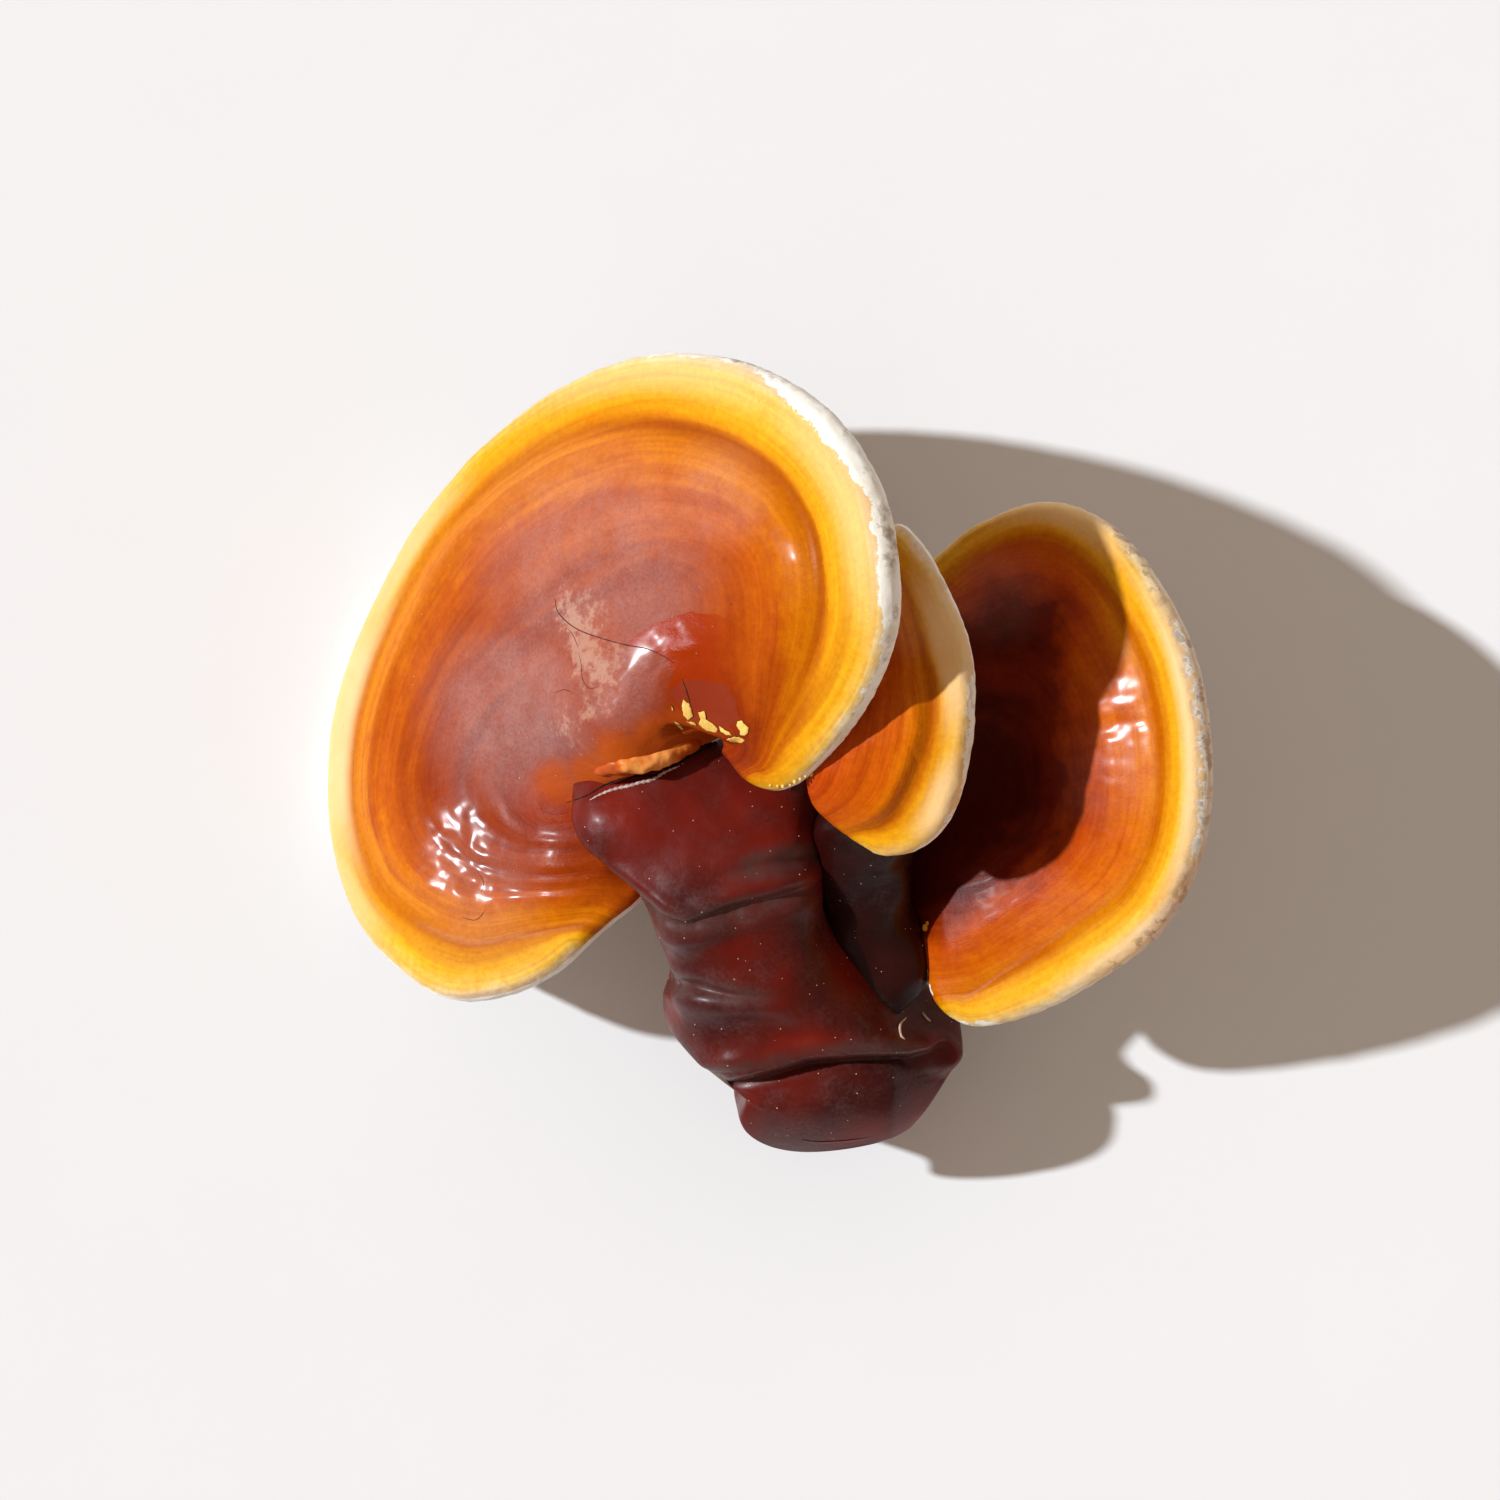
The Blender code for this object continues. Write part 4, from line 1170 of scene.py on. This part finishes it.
def lay_bead(name, surface, x, y, radius, material):
    """A small round grain or drop on the surface."""
    point, normal = surface.at(x, y)
    centre = point + normal * 0.3 * radius
    half = radius * np.array([1.0, 1.2, 0.9])
    turn = full_turn(12)
    rings = []
    for tip in np.linspace(math.pi, 0.0, 9)[1:-1]:
        wide, high = math.sin(tip), math.cos(tip)
        ring = np.column_stack([wide * np.cos(turn), wide * np.sin(turn), np.full(12, high)])
        rings.append(centre + half * ring)
    pole = half * (0.0, 0.0, 1.0)
    return closed_skin(name, rings, centre - pole, centre + pole, material=material)


def strew(name, skin, material, density, radius, seed):
    """Round grains scattered over the parts of a skin that look upwards."""
    tree = bpy.data.node_groups.new(name, "GeometryNodeTree")
    panel = tree.interface
    panel.new_socket("Skin", in_out="INPUT", socket_type="NodeSocketGeometry")
    density_in = panel.new_socket("Grains per square metre", in_out="INPUT", socket_type="NodeSocketFloat")
    radius_in = panel.new_socket("Largest radius", in_out="INPUT", socket_type="NodeSocketFloat")
    panel.new_socket("Grains", in_out="OUTPUT", socket_type="NodeSocketGeometry")

    def add(kind, inputs=(), **settings):
        node = tree.nodes.new(kind)
        for key, value in settings.items():
            setattr(node, key, value)
        for key, value in dict(inputs).items():
            if isinstance(value, bpy.types.NodeSocket):
                tree.links.new(value, node.inputs[key])
            else:
                node.inputs[key].default_value = value
        return node.outputs

    given = add("NodeGroupInput")
    upward = add("ShaderNodeSeparateXYZ", {0: add("GeometryNodeInputNormal")[0]})[2]
    slope = {0: upward, 1: DUST_SLOPE}
    flat = add("FunctionNodeCompare", slope, data_type="FLOAT", operation="GREATER_THAN")[0]
    scatter = {"Mesh": given[0], "Selection": flat, "Density": given[1], "Seed": seed}
    places = add("GeometryNodeDistributePointsOnFaces", scatter)
    smallest = add("ShaderNodeMath", {0: given[2], 1: SMALLEST_GRAIN}, operation="MULTIPLY")[0]
    size = add("FunctionNodeRandomValue", {2: smallest, 3: given[2], "Seed": seed}, data_type="FLOAT")[1]
    grain = add("GeometryNodeMeshIcoSphere", {"Radius": 1.0, "Subdivisions": 1})[0]
    grains = add("GeometryNodeInstanceOnPoints", {"Points": places[0], "Instance": grain, "Scale": size})[0]
    whole = add("GeometryNodeRealizeInstances", {0: grains})[0]
    finished = add("GeometryNodeSetMaterial", {"Geometry": whole, "Material": material})[0]
    tree.links.new(finished, tree.nodes.new("NodeGroupOutput").inputs[0])

    bed = place(name + "_bed", skin.data)
    strewing = bed.modifiers.new("strewing", "NODES")
    strewing.node_group = tree
    strewing[density_in.identifier] = float(density)
    strewing[radius_in.identifier] = float(radius * MM)
    mesh = bpy.data.meshes.new_from_object(bed.evaluated_get(bpy.context.evaluated_depsgraph_get()))
    bpy.data.objects.remove(bed)
    return place(name, mesh)


def small_pieces(skins, stem, side):
    """What lies on the skins, each piece with its slot: threads, flakes, the lip's bead, grains and dust. The
    near-black threads in the crack and the gap under the lip are painted shadow.
    """
    cap = Surface(skins["large_cap"])
    bark = Surface(stem, side)
    meeting = Surface(skins["large_cap"], stem)
    tip = Surface(skins["large_cap"], skins["middle_cap"])
    edge = Surface(skins["right_cap"], side, stem)
    hair = speckled("dark_hair", (0.20, 0.055, 0.03), (0.05, 0.015, 0.01), 900)
    gap = speckled("crack_shadow", (0.12, 0.035, 0.02), (0.05, 0.015, 0.01), 900)
    # Near-black for the threads in the crack and the gap under the lip: painted shadow.
    dark = speckled("painted_gap_shadow", (0.012, 0.004, 0.003), (0.005, 0.002, 0.002), 900, 0.8)
    amber = speckled("amber_drop", (0.80, 0.36, 0.03), (0.60, 0.20, 0.01), 500, 0.25)
    straw = speckled("straw_flake", (0.90, 0.62, 0.17), (0.78, 0.45, 0.08), 700)
    pale = speckled("pale_skin", (0.62, 0.47, 0.42), (0.36, 0.19, 0.16), 900)
    dust = speckled("pale_dust", (0.72, 0.52, 0.40), (0.55, 0.33, 0.22), 900)
    made = []

    def on_cap(piece):
        made.append((piece, "cap_lacquer"))

    def on_stem(piece):
        made.append((piece, "stem_lacquer"))

    for k, line in enumerate(HAIRS, 1):
        on_cap(lay_thread(f"hair_{k}", cap, line, 0.10, hair, rise=0.6))
    for k, line in enumerate(CRACKS, 1):
        on_cap(lay_thread(f"crack_{k}", cap, line, 0.08, gap, rise=-0.4))
    for k, outline in enumerate(FLAKES, 1):
        on_cap(lay_flake(f"flake_{k}", cap, outline, 0.22, straw))
    on_stem(lay_thread("pale_edge", bark, PALE_EDGE, 0.28, pale, ragged=0.5, steps=90))
    on_cap(lay_thread("lip_crack_shadow", meeting, LIP_CRACK, 0.17, dark, rise=-0.1, ragged=0.4, steps=90))
    on_cap(lay_thread("lip_gap_shadow", meeting, LIP_GAP_SHADOW, 0.75, dark, rise=-0.35, ragged=0.2, steps=60))
    on_cap(lay_lip("lip_bead", cap, lip_orange()))
    for k, (x, y, radius) in enumerate(CRUMBS, 1):
        on_cap(lay_bead(f"crumb_{k}", tip, x, y, radius, straw))
    for k, (x, y, radius) in enumerate(DROPS, 1):
        on_cap(lay_bead(f"drop_{k}", edge, x, y, radius, amber))
    for k, line in enumerate(CURLS, 1):
        on_stem(lay_thread(f"curl_{k}", bark, line, 0.22, dust, rise=0.8))
    on_stem(strew("stem_dust", stem, dust, density=32000, radius=0.13, seed=3))
    on_stem(strew("side_stem_dust", side, dust, density=25000, radius=0.11, seed=4))
    on_cap(strew("cap_dust", skins["large_cap"], dust, density=9000, radius=0.10, seed=5))
    return made


# ---------------------------------------------------------------- the studio

SUN_RISE = 40  # degrees above the ground
SUN_SWING = 12.5  # degrees up the picture from straight left
CAMERA_HEIGHT = 1.072


def studio():
    """The pale ground, a low sun from the left, a soft warm fill and the camera overhead."""
    scene = bpy.context.scene
    ground = bpy.data.meshes.new("floor")
    far = 4.0
    ground.from_pydata([(-far, -far, 0), (far, -far, 0), (far, far, 0), (-far, far, 0)], [], [(0, 1, 2, 3)])
    ground.materials.append(speckled("pale_floor", (0.835, 0.83, 0.83), (0.83, 0.825, 0.825), 40, 0.9, 0.02))
    floor = place("floor", ground)

    sun = bpy.data.lights.new("key", "SUN")
    sun.energy = 4.0
    sun.color = (0.885, 0.945, 1.0)
    sun.angle = math.radians(2.0)
    rise, swing = math.radians(SUN_RISE), math.radians(SUN_SWING)
    toward = Vector((-math.cos(rise) * math.cos(swing), math.cos(rise) * math.sin(swing), math.sin(rise)))
    place("key", sun).rotation_euler = toward.to_track_quat("Z", "Y").to_euler()

    scene.world = bpy.data.worlds.new("soft_room")
    scene.world.use_nodes = True
    fill = scene.world.node_tree.nodes["Background"]
    fill.inputs["Color"].default_value = (1.0, 0.80, 0.66, 1.0)
    fill.inputs["Strength"].default_value = 0.375
    scene.view_settings.view_transform = "Standard"

    lens = bpy.data.cameras.new("camera")
    lens.sensor_width = 36.0
    lens.lens = 160.8
    lens.clip_start = 0.1
    lens.clip_end = 20.0
    scene.camera = place("camera", lens)
    scene.camera.location = (-ORIGIN[0] * MM, -ORIGIN[1] * MM, CAMERA_HEIGHT)


def main():
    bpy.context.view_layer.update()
    studio()
    pores = pore_layer()
    skins = {node: grow_cap(f"{node}_skin", cap) for node, cap, _ in CAPS}
    lacquers = {node: cap_lacquer(f"{node}_lacquer", colours, bool(cap.lip)) for node, cap, colours in CAPS}
    barks = {
        "stem": stem_lacquer("stem_lacquer", STEM_TONE_AND_LIGHT),
        "side_stem": stem_lacquer("side_stem_painted_shade_lacquer", SIDE_FACET_LIGHT, SIDE_PAINTED_SHADE),
    }
    stem = grow_stem("stem_bark", STEM_STATIONS, STEM_LEAN, count=270, around=200, folds=FOLDS, footed=True)
    side = grow_stem("side_stem_bark", SIDE_STATIONS, SIDE_LEAN, count=120, around=96)
    pieces = small_pieces(skins, stem, side)
    for node, skin in skins.items():
        skin.data.materials.append(lacquers[node])
        skin.data.materials.append(pores)
        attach(skin, "root")
        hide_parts(node)
    for node, bark in (("stem", stem), ("side_stem", side)):
        bark.data.materials.append(barks[node])
        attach(bark, "root")
        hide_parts(node)
    for piece, slot in pieces:
        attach(piece, "root")


main()
